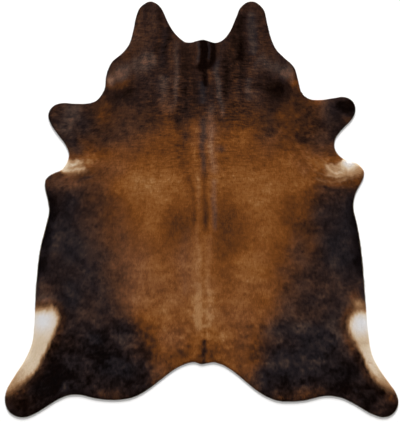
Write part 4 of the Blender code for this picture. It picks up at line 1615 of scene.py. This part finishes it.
def hair_finish():
    """The sum of the tone and four kinds of noise picks a brown and a grey, and the grey
    number blends the two. The pale number picks a cream and says how far it covers them.
    The colour is then shaded from each lock's root to its tip."""
    finish = Finish("hair", {"Specular IOR Level": 0.0})
    fibre = finish.kept("fibre") - 0.5
    grain = finish.noise(700, stretch=(1, 0.35, 1)) - 0.5
    # streak is painted light and shade of the combed rows: thin streaks across the lay, strong where
    # the coat is rippled
    streak = finish.noise(30, 3.0, stretch=(1, 4.5, 1)) - 0.5
    drift = finish.noise(45, 3.0) - 0.5
    strength = finish.kept("combed") * 0.60 + 0.02
    tone = finish.kept("tone") + fibre * 0.20 + grain * 0.16 + drift * 0.14 + streak * strength
    brown = finish.ramp(tone, BROWNS)
    # the painted sheen's colours; the grey number says how much of them is blended in
    cool = finish.ramp(tone, SHEEN_GREYS)
    coat_colour = finish.blend("MIX", finish.kept("grey") * 0.85, brown, cool)
    pale = finish.kept("pale") + fibre * 0.10 + grain * 0.08
    cream = finish.ramp(pale, CREAMS)
    reach = finish.ramp(pale, CREAM_REACH)
    coloured = finish.blend("MIX", reach, coat_colour, cream)
    along = {"Value": finish.kept("along"), "To Min": ROOT_SHADE, "To Max": TIP_SHADE}
    shade = finish.node("ShaderNodeMapRange", inputs=along)
    shaded = {"Vector": coloured, "Scale": shade}
    finish.use(
        Base_Color=finish.node("ShaderNodeVectorMath", {"operation": "SCALE"}, shaded),
        Roughness=0.52 + fibre * 0.16 + grain * 0.10,
        Normal=finish.bump(grain, 0.35, 0.0004),
    )
    return finish.material


hair = hair_finish()
for piece in (coat, *locks):
    piece.data.materials.append(hair)
print(f"the hair's finish has {len(hair.node_tree.nodes)} nodes")

# %% [markdown]
# ## The leather's finish
# Suede is leather sanded on its flesh side: matt, pale tan, with a short nap that is
# smeared lighter and darker in clouds. Only its cut edge shows, and its underside.

# %% The leather's material
TANS = ((0.3, (176, 150, 118)), (0.5, (196, 172, 140)), (0.7, (214, 194, 164)))


def leather_finish():
    """Clouds and the finer nap, mixed 3 to 2, pick the tan."""
    finish = Finish("suede", {"Specular IOR Level": 0.15})
    cloud = finish.noise(7, 4.0)
    nap = finish.noise(420, 3.0)
    tan = finish.ramp(cloud * 0.6 + nap * 0.4, TANS)
    finish.use(Base_Color=tan, Roughness=0.86 + nap * 0.1, Normal=finish.bump(nap, 0.5, 0.0005))
    return finish.material


suede = leather_finish()
leather.data.materials.append(suede)
print(f"the leather's finish has {len(suede.node_tree.nodes)} nodes")

# %% [markdown]
# ## Floor, light and camera
# The hide lies on a plain pale floor and is seen from straight above. The light is broad
# and soft, so that the coat's colours show and not the lamps; a lower one from the neck's
# end brings out the ripples and puts a narrow shade under the lower edges.

# %% Floor
FLOOR_SIZE = 60.0
FLOOR_GAP = 0.0002  # so that the leather's underside doesn't flicker through the floor

half = FLOOR_SIZE / 2
floor_corners = [(-half, -half, 0), (half, -half, 0), (half, half, 0), (-half, half, 0)]
floor_mesh = bpy.data.meshes.new("floor")
floor_mesh.from_pydata(floor_corners, [], [(0, 1, 2, 3)])
floor = bpy.data.objects.new("floor", floor_mesh)
floor.location.z = -FLOOR_GAP
bpy.context.scene.collection.objects.link(floor)
matt_white = {"Base Color": (0.90, 0.90, 0.90, 1), "Roughness": 0.9, "Specular IOR Level": 0.0}
floor_mesh.materials.append(Finish("floor", matt_white).material)
print(f"the floor is {FLOOR_SIZE:.0f} m wide")

# %% Light
SUN_DISTANCE = 10.0  # only its direction matters


def aim(name, lamp, place):
    """Puts the lamp at the place and turns it to look at the middle of the hide."""
    holder = bpy.data.objects.new(name, lamp)
    holder.location = place
    holder.rotation_mode = "QUATERNION"
    holder.rotation_quaternion = holder.location.to_track_quat("Z", "Y")
    bpy.context.scene.collection.objects.link(holder)
    print(f"the lamp called {name} has a strength of {lamp.energy:g}")


def soft_light(name, place, size, watts):
    """A square lamp of this size."""
    lamp = bpy.data.lights.new(name, "AREA")
    lamp.shape = "SQUARE"
    lamp.size = size
    lamp.energy = watts
    aim(name, lamp, place)


def low_light(name, height_angle, width_angle, strength):
    """A far lamp beyond the neck, this high above the floor and this wide, in degrees."""
    lamp = bpy.data.lights.new(name, "SUN")
    lamp.energy = strength
    lamp.angle = math.radians(width_angle)
    up = math.radians(height_angle)
    aim(name, lamp, (0.0, SUN_DISTANCE * math.cos(up), SUN_DISTANCE * math.sin(up)))


soft_light("high left", (-3.6, 1.2, 4.2), size=2.6, watts=42)
soft_light("high right", (3.6, 1.2, 4.2), size=2.6, watts=42)
low_light("neck end", height_angle=9.0, width_angle=9.0, strength=14.2)
world = bpy.data.worlds.new("studio")
world.use_nodes = True
world.node_tree.nodes["Background"].inputs["Color"].default_value = (0.98, 0.95, 0.92, 1)
world.node_tree.nodes["Background"].inputs["Strength"].default_value = 0.30
bpy.context.scene.world = world
bpy.context.scene.view_settings.view_transform = "Standard"

# %% Camera
PICTURE_HEIGHT = 2.183  # metres of floor from the picture's top to its bottom
PICTURE_MIDDLE = (-0.0085, -0.0083)
LENS = 85.0
SENSOR = 36.0

camera_data = bpy.data.cameras.new("camera")
camera_data.lens = LENS
camera_data.sensor_width = SENSOR
camera = bpy.data.objects.new("camera", camera_data)
camera.location = (*PICTURE_MIDDLE, PICTURE_HEIGHT * LENS / SENSOR)
bpy.context.scene.collection.objects.link(camera)
bpy.context.scene.camera = camera
print(f"the camera looks down from {camera.location.z:.2f} m")

# %% [markdown]
# ## Tying it to the solid
# The coat and its locks stand for the hide's one solid and move with it. The leather is
# the sheet: its flat size is what was cut from the whole skin.

for piece in (leather, coat, *locks):
    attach(piece, "root")
    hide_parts("hide")
